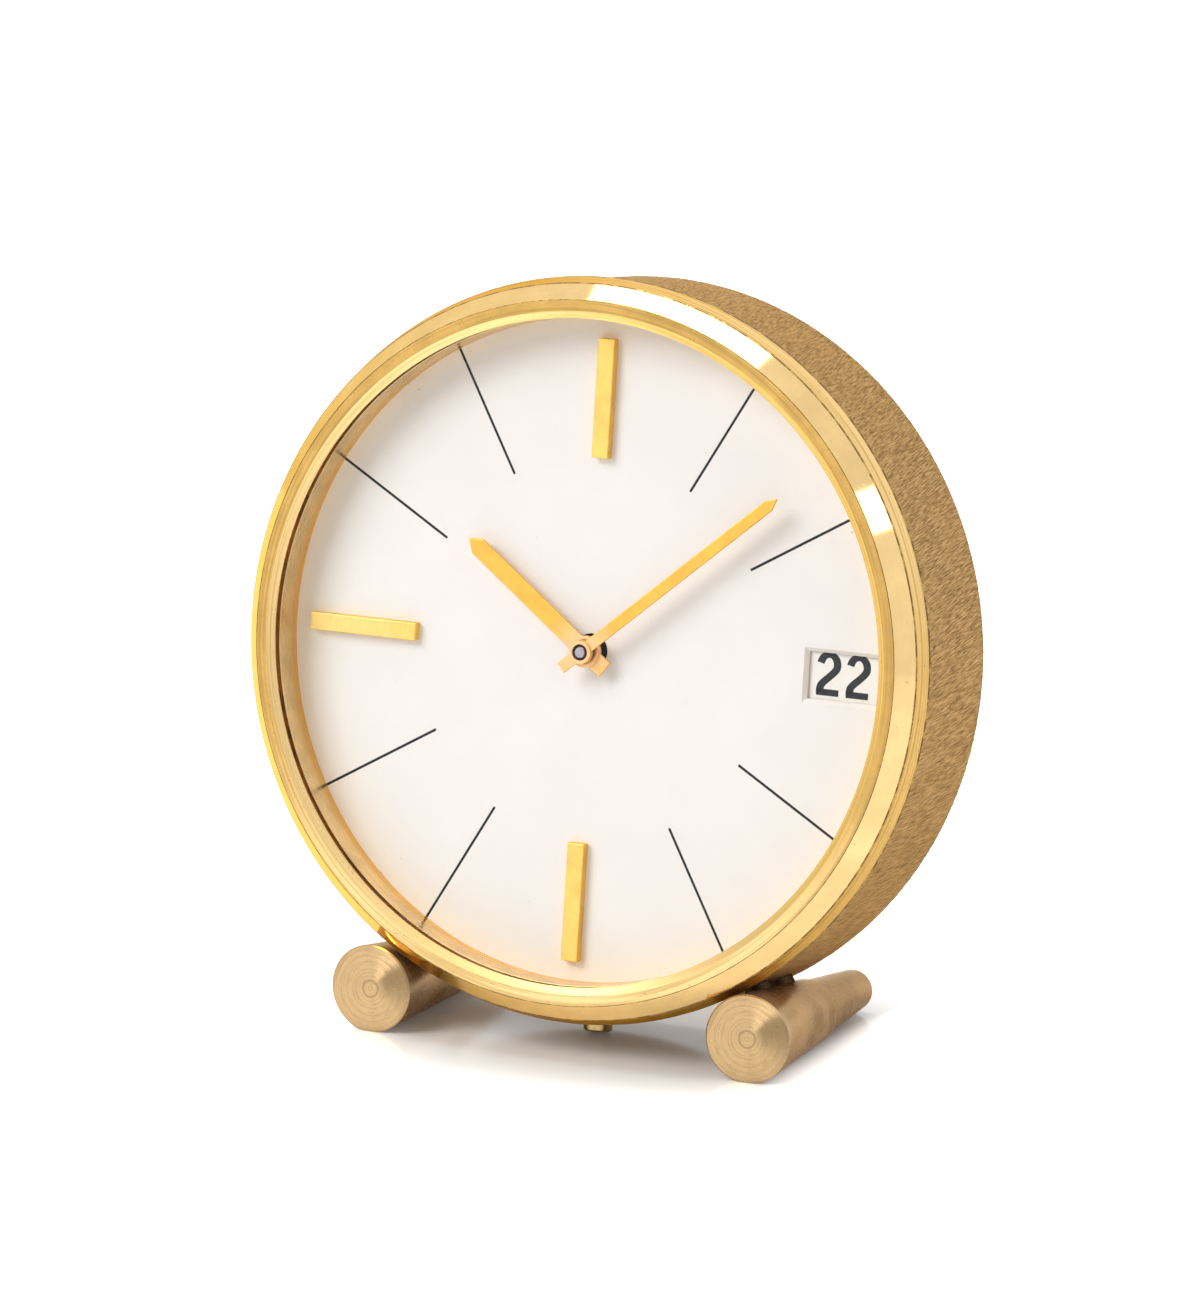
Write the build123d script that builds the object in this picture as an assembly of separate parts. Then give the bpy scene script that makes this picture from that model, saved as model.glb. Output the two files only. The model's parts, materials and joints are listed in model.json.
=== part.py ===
from build123d import *
import os
from math import acos, atan, atan2, cos, degrees, hypot, pi, radians, sin, sqrt

# A desk clock: a round brass drum that leans back on two tapered feet, with a plain dial, a date
# ring behind a window at three o'clock, and an eight-day movement wound and set from the back.
# Lengths are in millimetres and angles in degrees. Each piece is drawn in the drum's own frame:
# X to the right and Y up on the dial, Z out of the dial, zero on the dial's face.

# Attitude of the drum
lean_back = 8.0

# Bezel, crystal and inner ring
bezel_radius = 62.5
band_width = 3.1
band_taper = 1.0
bevel_reach = 2.7
bevel_drop = 3.2
land_width = 1.9
lip_reach = 1.25
lip_drop = 0.8
lip_edge = 0.25
land_height = 8.6
crystal_thickness = 1.4
crystal_overlap = 1.2
inner_ring_wall = 1.25

# Drum and rear cover
drum_setback = 0.65
drum_wall = 1.3
drum_length = 24.2
drum_edge_round = 0.6
seat_ledge_width = 3.5
seat_ledge_depth = 1.6
cover_recess = 0.5
cover_thickness = 1.0
cover_ledge_width = 3.0
cover_ledge_depth = 1.5
cover_screw_count = 4
cover_screw_radius = 0.9
cover_screw_head_radius = 1.25
cover_screw_head_height = 0.7
cover_screw_length = 2.0

# Feet
foot_front_radius = 7.5
foot_length = 47.4
foot_spread = 30.0
foot_front_ahead = 5.0
foot_bezel_gap = 0.12
foot_groove_at = 26.0
foot_groove_width = 0.5
foot_groove_depth = 0.2
foot_end_round = 1.0
foot_front_chamfer = 0.25
foot_rest_flat = 0.15
foot_pad_radius = 3.2
foot_screw_stations = (-7.0, -16.0)
foot_screw_radius = 1.25
foot_screw_head_radius = 2.2
foot_screw_head_height = 1.5
foot_screw_reach = 3.5

# Dial
dial_margin = 2.05
dial_thickness = 0.8
dial_foot_radius = 0.8
dial_foot_length = 1.9
dial_foot_inset = 3.0
window_inset = 7.1
window_length = 12.6
window_height = 7.9
window_chamfer = 0.65
marker_margin = 3.45
marker_length = 19.9
marker_width = 3.0
marker_height = 1.7
marker_bevel = 0.12
marker_pin_radius = 0.4
bush_radius = 2.9
spacer_thickness = 1.2
calendar_plate_thickness = 1.0
seat_screw_count = 3
seat_screw_radius = 0.8
seat_screw_head_radius = 1.2
seat_screw_head_height = 0.6
seat_screw_length = 3.0

# Date work
date_count = 31
date_guide_width = 7.5
date_ring_width = 15.6
date_ring_tooth_height = 1.2
date_ring_thickness = 0.6
date_ring_lift = 0.25
date_pinion_teeth = 20
date_idler_teeth = 30
date_wheel_teeth = 40
date_gear_thickness = 0.4
date_gear_lift = 0.08
date_train_angle = 230.0
date_finger_width = 1.4
date_finger_thickness = 0.4
date_stud_radius = 0.8
jumper_pivot_inset = 5.2
jumper_angle = 95.0
jumper_swing_angle = 22.0
jumper_width = 1.8
jumper_spring_width = 0.5
jumper_spring_length = 16.0

# Date pusher
pusher_radius = 2.45
pusher_station = -11.5
pusher_floor_gap = 0.1
pusher_travel = 1.8
pusher_head_length = 6.6
pusher_stem_radius = 0.9
pusher_tube_wall = 0.8
pusher_tube_length = 11.3
pusher_tube_floor = 1.2
pusher_spring_wire = 0.35
pusher_spring_turns = 6
pusher_clip_radius = 1.9
pusher_clip_thickness = 0.6
pusher_clip_setback = 1.4
corrector_arm = 12.0
corrector_thickness = 1.0
corrector_width = 3.0
corrector_tab_thickness = 1.2
corrector_offset = -4.0
corrector_pin_radius = 0.5
corrector_pin_gap = 0.12

# Hands and motion work
hand_thickness = 0.45
hour_hand_angle = 306.5
hour_hand_length = 28.4
hour_hand_width = 3.15
hour_hand_point = 2.1
hour_hand_tail = 4.6
hour_hand_height = 2.15
hour_boss_radius = 3.0
hour_boss_height = 1.2
minute_hand_angle = 49.7
minute_hand_margin = 11.1
minute_hand_width = 2.0
minute_hand_point = 2.0
minute_hand_tail = 4.6
minute_hand_height = 3.95
minute_boss_radius = 1.95
minute_boss_height = 1.1
arbor_radius = 0.85
arbor_tip_height = 4.7
cannon_radius = 1.35
hour_pipe_radius = 2.0
motion_module = 0.3
cannon_teeth = 12
minute_wheel_teeth = 36
minute_pinion_teeth = 10
hour_wheel_teeth = 40
motion_gear_thickness = 0.6
motion_space = 3.4
motion_angle = 262.0
setting_arbor_radius = 1.0
setting_knob_radius = 4.0
setting_knob_length = 5.0
setting_knob_ribs = 24
setting_knob_rib_depth = 0.3

# Movement frame
plate_overlap = 2.8
plate_thickness = 1.2
winding_space = 2.2
pillar_inset = 3.5
pillar_radius = 1.8
pillar_spigot_radius = 1.0
plate_screw_radius = 0.8
plate_screw_head_radius = 1.7
plate_screw_head_height = 1.0
plate_screw_length = 3.4
post_inset = 3.2
post_angles = (50.0, 170.0, 310.0)
post_radius = 2.0
post_screw_head_radius = 1.3
post_screw_head_height = 0.4

# Winding work
barrel_teeth = 90
barrel_margin = 1.35
barrel_wall = 0.9
barrel_end_gap = 1.6
barrel_angle = 135.0
barrel_cover_thickness = 0.6
barrel_arbor_radius = 1.6
barrel_hub_radius = 2.6
mainspring_thickness = 0.45
mainspring_pitch = 1.3
mainspring_play = 0.25
ratchet_teeth = 36
ratchet_radius = 7.0
ratchet_tooth_height = 0.8
ratchet_thickness = 0.8
click_angle = 300.0
click_length = 6.0
click_width = 2.2
click_spring_width = 0.5
key_hub_radius = 3.2
key_hub_length = 3.6
key_wing_span = 24.0
key_wing_height = 9.0
key_wing_thickness = 2.0

# Going train
intermediate_pinion_teeth = 12
intermediate_teeth = 64
intermediate_module_share = 0.875
centre_pinion_teeth = 16
centre_teeth = 80
centre_module_share = 0.75
third_pinion_teeth = 10
third_teeth = 75
third_module_share = 0.65
third_angle = 315.0
fourth_pinion_teeth = 10
fourth_teeth = 70
fourth_module_share = 0.625
fourth_angle = 60.0
escape_pinion_teeth = 7
escape_angle = 80.0
escape_teeth = 15
escape_radius = 4.2
escape_tooth_height = 1.0
wheel_thickness = 0.45
level_gap_count = 16
wheel_arms = 4
wheel_arm_width = 1.6
wheel_rim_width = 1.3
wheel_hub_radius = 2.4
train_arbor_radius = 0.6
pivot_radius = 0.4
pallet_distance = 5.3
pallet_reach = 3.4
pallet_width = 0.8
pallet_swing = 5.0
lever_length = 5.6
balance_distance = 8.2
balance_radius = 7.5
balance_rim_width = 0.9
balance_thickness = 0.8
balance_staff_radius = 0.6
roller_radius = 1.5
hairspring_inner = 1.2
hairspring_pitch = 0.7
hairspring_half_turns = 9
hairspring_width = 0.15
hairspring_height = 0.3
hairspring_stud_radius = 0.45
cock_width = 7.0
cock_thickness = 1.1
cock_screw_radius = 0.8
cock_screw_head_radius = 1.5
cock_screw_head_height = 0.7

# Fits and clearances
fit = 0.05
running_fit = 0.04
touch = 0.02
clearance = 0.3
tooth_gap = 0.25

# Gear tooth shape, in modules above and below the pitch circle and in shares of the pitch
tooth_addendum = 0.75
tooth_dedendum = 1.1
tooth_tip_share = 0.18
tooth_root_share = 0.5

# Radii and heights that follow from the sizes, in the drum's frame
bevel_base = land_height - bevel_drop
joint_height = bevel_base - band_width
band_front_radius = bezel_radius - band_taper
land_outer = band_front_radius - bevel_reach
land_inner = land_outer - land_width
lip_radius = land_inner - lip_reach
lip_height = land_height - lip_drop
crystal_front = lip_height - lip_edge
crystal_back = crystal_front - crystal_thickness
crystal_radius = lip_radius + crystal_overlap
bezel_bore = crystal_radius + fit
drum_radius = bezel_radius - drum_setback
drum_bore = drum_radius - drum_wall
dial_radius = drum_bore - dial_margin
dial_foot_reach = dial_radius - dial_foot_inset
marker_inner = lip_radius - marker_margin - marker_length
minute_hand_length = lip_radius - minute_hand_margin
date_ring_outer = drum_bore - date_guide_width - tooth_gap
date_ring_tooth_tip = date_ring_outer - date_ring_width
window_centre = date_ring_outer - window_inset
jumper_pivot_reach = date_ring_tooth_tip - jumper_pivot_inset
post_reach = date_ring_tooth_tip - post_inset
plate_radius = date_ring_tooth_tip + plate_overlap
pillar_reach = plate_radius - pillar_inset
drum_back = joint_height - drum_length
dial_back = -dial_thickness
spacer_back = dial_back - spacer_thickness
calendar_front = spacer_back
calendar_back = calendar_front - calendar_plate_thickness
cover_back = drum_back + cover_recess
cover_front = cover_back + cover_thickness
front_plate_front = calendar_back - motion_space
front_plate_back = front_plate_front - plate_thickness
back_plate_back = cover_front + winding_space
back_plate_front = back_plate_back + plate_thickness
plate_space = front_plate_back - back_plate_front

# The date train and its finger span the way from the centre to the date ring, and the finger passes
# the idler's stud on its way round
date_span_teeth = date_pinion_teeth / 2 + 3 * date_idler_teeth / 2 + date_wheel_teeth
date_module = (date_ring_tooth_tip + date_stud_radius) / date_span_teeth
date_idler_reach = (date_idler_teeth + date_wheel_teeth) * date_module / 2
date_finger_reach = date_idler_reach - date_stud_radius - tooth_gap

# The barrel fills the way from the centre to the rim of the plates, and the train grows finer from it
barrel_clear = arbor_radius + 4 * clearance
barrel_module = (plate_radius - barrel_margin - barrel_clear) / (barrel_teeth + 2 * tooth_addendum)
intermediate_module = barrel_module * intermediate_module_share
centre_module = barrel_module * centre_module_share
third_module = barrel_module * third_module_share
fourth_module = barrel_module * fourth_module_share

# Heights of the going train, each wheel one level behind the last, with equal gaps between them
train_stack = 5 * wheel_thickness + balance_thickness + hairspring_height + tooth_gap
level_gap = (plate_space - train_stack) / level_gap_count
pinion_overlap = level_gap / 2
centre_front = front_plate_back - level_gap
centre_back = centre_front - wheel_thickness
intermediate_front = centre_back - level_gap
intermediate_back = intermediate_front - wheel_thickness
barrel_front = intermediate_back - level_gap
barrel_back = back_plate_front + barrel_end_gap
third_front = intermediate_back - level_gap
third_back = third_front - wheel_thickness
fourth_front = third_back - 2 * level_gap
fourth_back = fourth_front - wheel_thickness
escape_front = fourth_back - 2 * level_gap
escape_back = escape_front - wheel_thickness
balance_front = escape_back - 2 * level_gap
balance_back = balance_front - balance_thickness
hairspring_front = balance_back - level_gap
hairspring_back = hairspring_front - hairspring_height
ratchet_front = back_plate_back - tooth_gap
ratchet_back = ratchet_front - ratchet_thickness

# The feet lie on the floor and carry the drum along straight lines, so their taper follows
# from the lean of the drum and from how far round the drum they stand
foot_taper = atan(
    sin(radians(lean_back))
    / (1 + cos(radians(foot_spread)) * cos(radians(lean_back)))
)
foot_back_radius = foot_front_radius - foot_length * sin(foot_taper) / cos(foot_taper)
foot_axis_reach = bezel_radius + foot_bezel_gap + foot_front_radius / cos(foot_taper)
upward = Vector(0, cos(radians(lean_back)), sin(radians(lean_back)))
foot_side = Vector(sin(radians(foot_spread)), -cos(radians(foot_spread)), 0)
foot_start = foot_side * foot_axis_reach + Vector(0, 0, foot_front_ahead)
foot_direction = foot_side * -sin(foot_taper) + Vector(0, 0, -cos(foot_taper))
floor_level = foot_start.dot(upward) - foot_front_radius * cos(foot_taper) + foot_rest_flat

BASE = (Align.CENTER, Align.CENTER, Align.MIN)


def polar(reach, angle, origin=(0.0, 0.0)):
    """The point at a distance and an angle, counted from X towards Y, from an origin."""
    return (origin[0] + reach * cos(radians(angle)), origin[1] + reach * sin(radians(angle)))


def corner(first, reach_first, second, reach_second):
    """The point at two given distances from two points, to the right of the line between them."""
    across = hypot(second[0] - first[0], second[1] - first[1])
    heading = degrees(atan2(second[1] - first[1], second[0] - first[0]))
    cosine = (reach_first**2 + across**2 - reach_second**2) / (2 * reach_first * across)
    return polar(reach_first, heading - degrees(acos(cosine)), first)


def tube(outer, bore, low, high, at=(0.0, 0.0)):
    """A round tube between two heights, or a plain disc where the bore is zero."""
    body = Pos(at[0], at[1], low) * Cylinder(outer, high - low, align=BASE)
    if bore > 0:
        body -= Pos(at[0], at[1], low) * Cylinder(bore, high - low, align=BASE)
    return body


def turned(profile):
    """A solid of revolution about Z from corners given as radius and height."""
    return revolve(Plane.XZ * make_face(Polyline(*profile, close=True)), Axis.Z)


def plate(corners, low, high):
    """A flat plate between two heights from the corners of its outline."""
    outline = make_face(Polyline(*corners, close=True))
    return Pos(0, 0, low) * extrude(outline, high - low)


def bar(start, end, width, low, high):
    """A flat bar with round ends between two points."""
    length = hypot(end[0] - start[0], end[1] - start[1])
    heading = degrees(atan2(end[1] - start[1], end[0] - start[0]))
    middle = ((start[0] + end[0]) / 2, (start[1] + end[1]) / 2)
    outline = SlotOverall(length + width, width)
    return Pos(middle[0], middle[1], low) * Rot(0, 0, heading) * extrude(outline, high - low)


def pitch_radius(teeth, module):
    """The pitch radius of a gear."""
    return teeth * module / 2


def tip_radius(teeth, module):
    """The radius at the tips of a gear's teeth."""
    return pitch_radius(teeth, module) + tooth_addendum * module


def gear(teeth, module, low, high, at=(0.0, 0.0), phase=0.0):
    """A spur gear with straight-flanked teeth, the first of them pointing along its phase."""
    pitch = 2 * pi / teeth
    pitch_circle = pitch_radius(teeth, module)
    root = pitch_circle - tooth_dedendum * module
    tip = tip_radius(teeth, module)
    root_half = tooth_root_share * pitch / 2
    tip_half = tooth_tip_share * pitch * pitch_circle / tip / 2
    corners = []
    for tooth in range(teeth):
        middle = phase + tooth * pitch
        for reach, turn in ((root, -root_half), (tip, -tip_half), (tip, tip_half), (root, root_half)):
            corners.append((reach * cos(middle + turn), reach * sin(middle + turn)))
    return Pos(at[0], at[1], 0) * plate(corners, low, high)


def meshed(driver_at, driver_phase, driver_teeth, follower_at, follower_teeth):
    """The phase at which a gear's teeth stand midway between those of the gear that drives it."""
    line = atan2(follower_at[1] - driver_at[1], follower_at[0] - driver_at[0])
    turn = (driver_phase - line) * driver_teeth / follower_teeth
    return line + pi + pi / follower_teeth - turn


def crossings(teeth, module, low, high, at):
    """The windows between the arms of a train wheel."""
    rim = pitch_radius(teeth, module) - wheel_rim_width
    windows = tube(rim, wheel_hub_radius, low, high, at)
    for arm in range(wheel_arms):
        spoke = Pos(rim / 2, 0, (low + high) / 2) * Box(rim, wheel_arm_width, high - low)
        windows -= Pos(at[0], at[1], 0) * Rot(0, 0, arm * 360 / wheel_arms) * spoke
    return windows


def saw_wheel(teeth, tip, tooth_height, low, high, at=(0.0, 0.0), phase=0.0):
    """A wheel with saw-shaped teeth, each with one steep side."""
    pitch = 2 * pi / teeth
    corners = []
    for tooth in range(teeth):
        start = phase + tooth * pitch
        root = tip - tooth_height
        for reach, share in ((root, 0.0), (tip, 0.15), (tip, 0.3), (root, 0.85)):
            corners.append((reach * cos(start + share * pitch), reach * sin(start + share * pitch)))
    return Pos(at[0], at[1], 0) * plate(corners, low, high)


def arbor(at, radius=train_arbor_radius):
    """A train arbor between the plates, with a pivot at each end."""
    shaft = tube(radius, 0, back_plate_front + clearance / 2, front_plate_back - clearance / 2, at)
    return shaft + tube(pivot_radius, 0, back_plate_back, front_plate_front, at)


def spiral_strip(inner, pitch, half_turns, width, low, high, at):
    """A flat strip wound into a spiral of half circles."""
    edges = []
    for half in range(half_turns):
        side = half % 2
        centre = Vector(side * pitch / 2, 0)
        reach = inner + half * pitch / 2
        for offset in (-width / 2, width / 2):
            edges.append(CenterArc(centre, reach + offset, 180 * side, 180))
    first = Line((inner - width / 2, 0), (inner + width / 2, 0))
    last_side = (half_turns - 1) % 2
    last_reach = inner + (half_turns - 1) * pitch / 2
    last_x = last_reach + pitch / 2 if last_side else -last_reach
    last = Line((last_x - width / 2, 0), (last_x + width / 2, 0))
    strip = make_face([first, last, *edges])
    return Pos(at[0], at[1], low) * extrude(strip, high - low)


def clock_hand(angle, length, width, point, tail, height, boss, boss_height, hole):
    """A baton hand with a pointed end, a square tail and a round boss."""
    half = width / 2
    shoulder = length - point
    corners = [(-half, -tail), (half, -tail), (half, shoulder), (0, length), (-half, shoulder)]
    blade = plate(corners, height, height + hand_thickness)
    boss_low = height + hand_thickness / 2 - boss_height / 2
    hand = blade + tube(boss, 0, boss_low, boss_low + boss_height)
    hand -= tube(hole, 0, boss_low, boss_low + boss_height)
    return Rot(0, 0, -angle) * hand


# Positions of the arbors
centre_at = (0.0, 0.0)
barrel_tip = tip_radius(barrel_teeth, barrel_module)
barrel_at = polar(barrel_tip + barrel_clear, barrel_angle)
intermediate_at = corner(
    barrel_at,
    pitch_radius(barrel_teeth + intermediate_pinion_teeth, barrel_module),
    centre_at,
    pitch_radius(intermediate_teeth + centre_pinion_teeth, intermediate_module),
)
third_at = polar(pitch_radius(centre_teeth + third_pinion_teeth, centre_module), third_angle)
fourth_at = polar(pitch_radius(third_teeth + fourth_pinion_teeth, third_module), fourth_angle, third_at)
escape_reach = pitch_radius(fourth_teeth + escape_pinion_teeth, fourth_module)
escape_at = polar(escape_reach, escape_angle, fourth_at)
pallet_at = polar(pallet_distance, escape_angle, escape_at)
balance_at = polar(balance_distance, escape_angle, pallet_at)
motion_reach = pitch_radius(cannon_teeth + minute_wheel_teeth, motion_module)
hour_module = 2 * motion_reach / (minute_pinion_teeth + hour_wheel_teeth)
minute_wheel_at = polar(motion_reach, motion_angle)
setting_at = polar(motion_reach, motion_angle, minute_wheel_at)
date_idler_at = polar(pitch_radius(date_pinion_teeth + date_idler_teeth, date_module), date_train_angle)
date_wheel_at = polar(date_idler_reach, date_train_angle, date_idler_at)
jumper_at = polar(jumper_pivot_reach, jumper_angle)
pillar_places = [polar(pillar_reach, quarter * 90) for quarter in range(4)]
post_places = [polar(post_reach, angle) for angle in post_angles]
seat_circle = drum_bore - seat_ledge_width / 2
seat_screw_places = [
    polar(seat_circle, 30 + k * 360 / seat_screw_count) for k in range(seat_screw_count)
]
cover_circle = drum_bore - cover_ledge_width / 2
cover_screw_places = [
    polar(cover_circle, 45 + k * 360 / cover_screw_count) for k in range(cover_screw_count)
]

# Date pusher, measured outwards from the drum's axis, down through the bottom of the drum
pusher_end = -(
    floor_level + pusher_floor_gap + (pusher_radius - pusher_station) * sin(radians(lean_back))
) / cos(radians(lean_back))
pusher_shoulder = pusher_end - pusher_head_length
pusher_tube_radius = pusher_radius + running_fit + pusher_tube_wall
pusher_tube_inner = drum_radius - pusher_tube_length
pusher_stem_end = pusher_tube_inner - pusher_clip_setback - pusher_clip_thickness
corrector_tab_face = pusher_stem_end - tooth_gap
corrector_at = (corrector_arm, -corrector_tab_face + corrector_tab_thickness / 2)
corrector_pin_reach = date_ring_tooth_tip - corrector_pin_gap - corrector_pin_radius
corrector_pin_x = corrector_arm + corrector_offset
corrector_pin_at = (corrector_pin_x, -sqrt(corrector_pin_reach**2 - corrector_pin_x**2))
corrector_reach = corrector_pin_at[1] - corrector_at[1]
corrector_angle = pusher_travel / corrector_arm
corrector_front = calendar_back - tooth_gap
corrector_back = corrector_front - corrector_thickness


def downward(outer, inner_end, outer_end, bore=0.0):
    """A round piece on the pusher's axis between two distances from the drum's axis."""
    return Pos(0, 0, pusher_station) * Rot(90, 0, 0) * tube(outer, bore, inner_end, outer_end)


def make_bezel():
    """The bezel ring, with a tapered band, a polished bevel, a flat land and a lip over the crystal."""
    skirt = drum_bore - fit
    return turned(
        [
            (bezel_bore, 0),
            (skirt, 0),
            (skirt, joint_height),
            (bezel_radius, joint_height),
            (band_front_radius, bevel_base),
            (land_outer, land_height),
            (land_inner, land_height),
            (lip_radius, lip_height),
            (lip_radius, crystal_front),
            (bezel_bore, crystal_front),
        ]
    )


def make_drum():
    """The drum, with a ledge for the movement in front and one for the cover behind."""
    ledge = drum_bore - seat_ledge_width
    cover_ledge = drum_bore - cover_ledge_width
    drum = turned(
        [
            (drum_bore, joint_height),
            (drum_radius, joint_height),
            (drum_radius, drum_back + drum_edge_round),
            (drum_radius - drum_edge_round, drum_back),
            (drum_bore, drum_back),
            (drum_bore, cover_front),
            (cover_ledge, cover_front),
            (cover_ledge, cover_front + cover_ledge_depth),
            (drum_bore, cover_front + cover_ledge_depth),
            (drum_bore, calendar_back - seat_ledge_depth),
            (ledge, calendar_back - seat_ledge_depth),
            (ledge, calendar_back),
            (drum_bore, calendar_back),
        ]
    )
    drum -= downward(pusher_tube_radius + touch, drum_bore - drum_wall, drum_radius + drum_wall)
    for x, y in seat_screw_places:
        drum -= tube(seat_screw_radius + touch, 0, calendar_back - seat_ledge_depth, calendar_back, (x, y))
    for x, y in cover_screw_places:
        drum -= tube(cover_screw_radius + touch, 0, cover_front, cover_front + cover_ledge_depth, (x, y))
    for shank in foot_fixings(foot_screw_radius + touch, drum_bore - drum_wall, drum_radius + drum_wall):
        drum -= shank
    return drum


def foot_fixings(radius, inner_end, outer_end):
    """Round pieces on the axes of the foot screws between two distances from the drum's axis."""
    pieces = []
    for side in (-1, 1):
        outward = Vector(side * foot_side.X, foot_side.Y, 0)
        for station in foot_screw_stations:
            start = outward * inner_end + Vector(0, 0, station)
            pieces.append(
                Plane(origin=start, z_dir=outward) * Cylinder(radius, outer_end - inner_end, align=BASE)
            )
    return pieces


def make_foot():
    """The right foot: a tapered bar with a groove, pads under the drum and a flat to stand on."""
    taper = (foot_front_radius - foot_back_radius) / foot_length
    groove_radius = foot_front_radius - taper * foot_groove_at
    half_groove = foot_groove_width / 2
    body = turned(
        [
            (0, 0),
            (foot_front_radius - foot_front_chamfer, 0),
            (foot_front_radius, foot_front_chamfer),
            (groove_radius, foot_groove_at - half_groove),
            (groove_radius - foot_groove_depth, foot_groove_at),
            (groove_radius, foot_groove_at + half_groove),
            (foot_back_radius, foot_length),
            (0, foot_length),
        ]
    )
    rear_rim = body.edges().filter_by(GeomType.CIRCLE).sort_by(Axis.Z)[-1]
    body = fillet(rear_rim, foot_end_round)
    foot = Plane(origin=foot_start, z_dir=foot_direction) * body
    inner_end = drum_radius - drum_wall
    for pad in foot_fixings(foot_pad_radius, inner_end, foot_axis_reach - foot_front_radius / 2)[2:]:
        foot += pad
    foot -= tube(drum_radius + touch, 0, drum_back - foot_length, joint_height)
    foot -= tube(bezel_radius + touch, 0, joint_height - touch, land_height)
    hole_end = drum_radius + foot_screw_reach + touch
    for hole in foot_fixings(foot_screw_radius + touch, inner_end, hole_end)[2:]:
        foot -= hole
    below_floor = Plane(origin=upward * (floor_level - foot_front_radius), z_dir=upward)
    foot -= below_floor * Box(4 * bezel_radius, 4 * bezel_radius, foot_front_radius, align=BASE)
    return foot


def make_foot_screws():
    """The screws that hold the feet, with their heads inside the drum."""
    head_end = drum_bore - foot_screw_head_height
    heads = foot_fixings(foot_screw_head_radius, head_end - touch, drum_bore - touch)
    shanks = foot_fixings(foot_screw_radius, head_end, drum_radius + foot_screw_reach)
    curve = tube(drum_bore - touch, 0, drum_back, joint_height)
    return [(head & curve) + shank for head, shank in zip(heads, shanks)]


def make_rear_cover():
    """The rear cover, with holes for its screws, the winding arbor and the setting arbor."""
    cover = tube(drum_bore - fit, 0, cover_back, cover_front)
    cover -= tube(barrel_arbor_radius + clearance, 0, cover_back, cover_front, barrel_at)
    cover -= tube(setting_arbor_radius + clearance / 2, 0, cover_back, cover_front, setting_at)
    for place_at in cover_screw_places:
        cover -= tube(cover_screw_radius + touch, 0, cover_back, cover_front, place_at)
    return cover


def screw(at, face, head_radius, head_height, radius, length, slot_depth=0.3, toward=-1):
    """A slotted screw whose head stands on a face, with its shank on the far side of it."""
    top = face + toward * head_height
    head = tube(head_radius, 0, min(face, top), max(face, top), at)
    slot = Box(3 * head_radius, head_radius / 3, 2 * slot_depth * head_height)
    end = face - toward * length
    shank = tube(radius, 0, min(face, end), max(face, end), at)
    return head - Pos(at[0], at[1], top) * slot + shank


def make_dial():
    """The dial plate, with its date window, the holes for the markers and two feet."""
    dial = tube(dial_radius, bush_radius + touch, dial_back, 0)
    opening = Box(window_length, window_height, dial_thickness, align=BASE)
    dial -= Pos(window_centre, 0, dial_back) * opening
    low_face = Pos(window_centre, 0, -window_chamfer) * Rectangle(window_length, window_height)
    wide_length = window_length + 2 * window_chamfer
    wide_height = window_height + 2 * window_chamfer
    high_face = Pos(window_centre, 0, 0) * Rectangle(wide_length, wide_height)
    dial -= loft([low_face, high_face])
    for x, y in marker_pin_places():
        dial -= tube(marker_pin_radius + touch, 0, dial_back, 0, (x, y))
    for side in (-1, 1):
        foot_at = polar(dial_foot_reach, side * 90)
        dial += tube(dial_foot_radius, 0, dial_back - dial_foot_length, dial_back, foot_at)
    return dial


def marker_pin_places():
    """The two pins of each hour marker, at twelve, nine and six."""
    places = []
    for angle in (90, 180, 270):
        for share in (0.25, 0.75):
            places.append(polar(marker_inner + share * marker_length, angle))
    return places


def make_markers():
    """The three raised hour markers, with bevelled edges and riveted pins."""
    markers = []
    for angle in (90, 180, 270):
        block = Box(marker_length, marker_width, marker_height, align=BASE)
        block = chamfer(block.faces().sort_by(Axis.Z)[-1].edges(), marker_bevel)
        marker = Rot(0, 0, angle) * Pos(marker_inner + marker_length / 2, 0, 0) * block
        for share in (0.25, 0.75):
            pin_at = polar(marker_inner + share * marker_length, angle)
            marker += tube(marker_pin_radius, 0, dial_back, 0, pin_at)
        markers.append(marker)
    return markers


def make_spacer():
    """The ring that carries the rim of the dial and guides the date ring."""
    spacer = tube(drum_bore - fit, date_ring_outer + tooth_gap, spacer_back, dial_back)
    for side in (-1, 1):
        foot_at = polar(dial_foot_reach, side * 90)
        spacer -= tube(dial_foot_radius + fit, 0, spacer_back, dial_back, foot_at)
    for place_at in seat_screw_places:
        spacer -= tube(seat_screw_radius + fit, 0, spacer_back, dial_back, place_at)
        head_low = dial_back - seat_screw_head_height
        spacer -= tube(seat_screw_head_radius + fit, 0, head_low, dial_back, place_at)
    return spacer


def make_calendar_plate():
    """The large plate that carries the date work in front and the movement behind."""
    low, high = calendar_back, calendar_front
    sheet = tube(drum_bore - fit, hour_pipe_radius + clearance, low, high)
    for side in (-1, 1):
        sheet -= tube(dial_foot_radius + fit, 0, low, high, polar(dial_foot_reach, side * 90))
    for place_at in seat_screw_places:
        sheet -= tube(seat_screw_radius + fit, 0, low, high, place_at)
    for place_at in post_places:
        sheet -= tube(plate_screw_radius + fit, 0, low, high, place_at)
    for place_at in (date_idler_at, date_wheel_at, jumper_at, corrector_at):
        sheet -= tube(date_stud_radius, 0, low, high, place_at)
    swept_x = corrector_pin_at[0] + corrector_reach * corrector_angle
    swept = (swept_x, corrector_pin_at[1] - corrector_offset * corrector_angle)
    sheet -= bar(corrector_pin_at, swept, 2 * (corrector_pin_radius + clearance), low, high)
    return sheet


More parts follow.
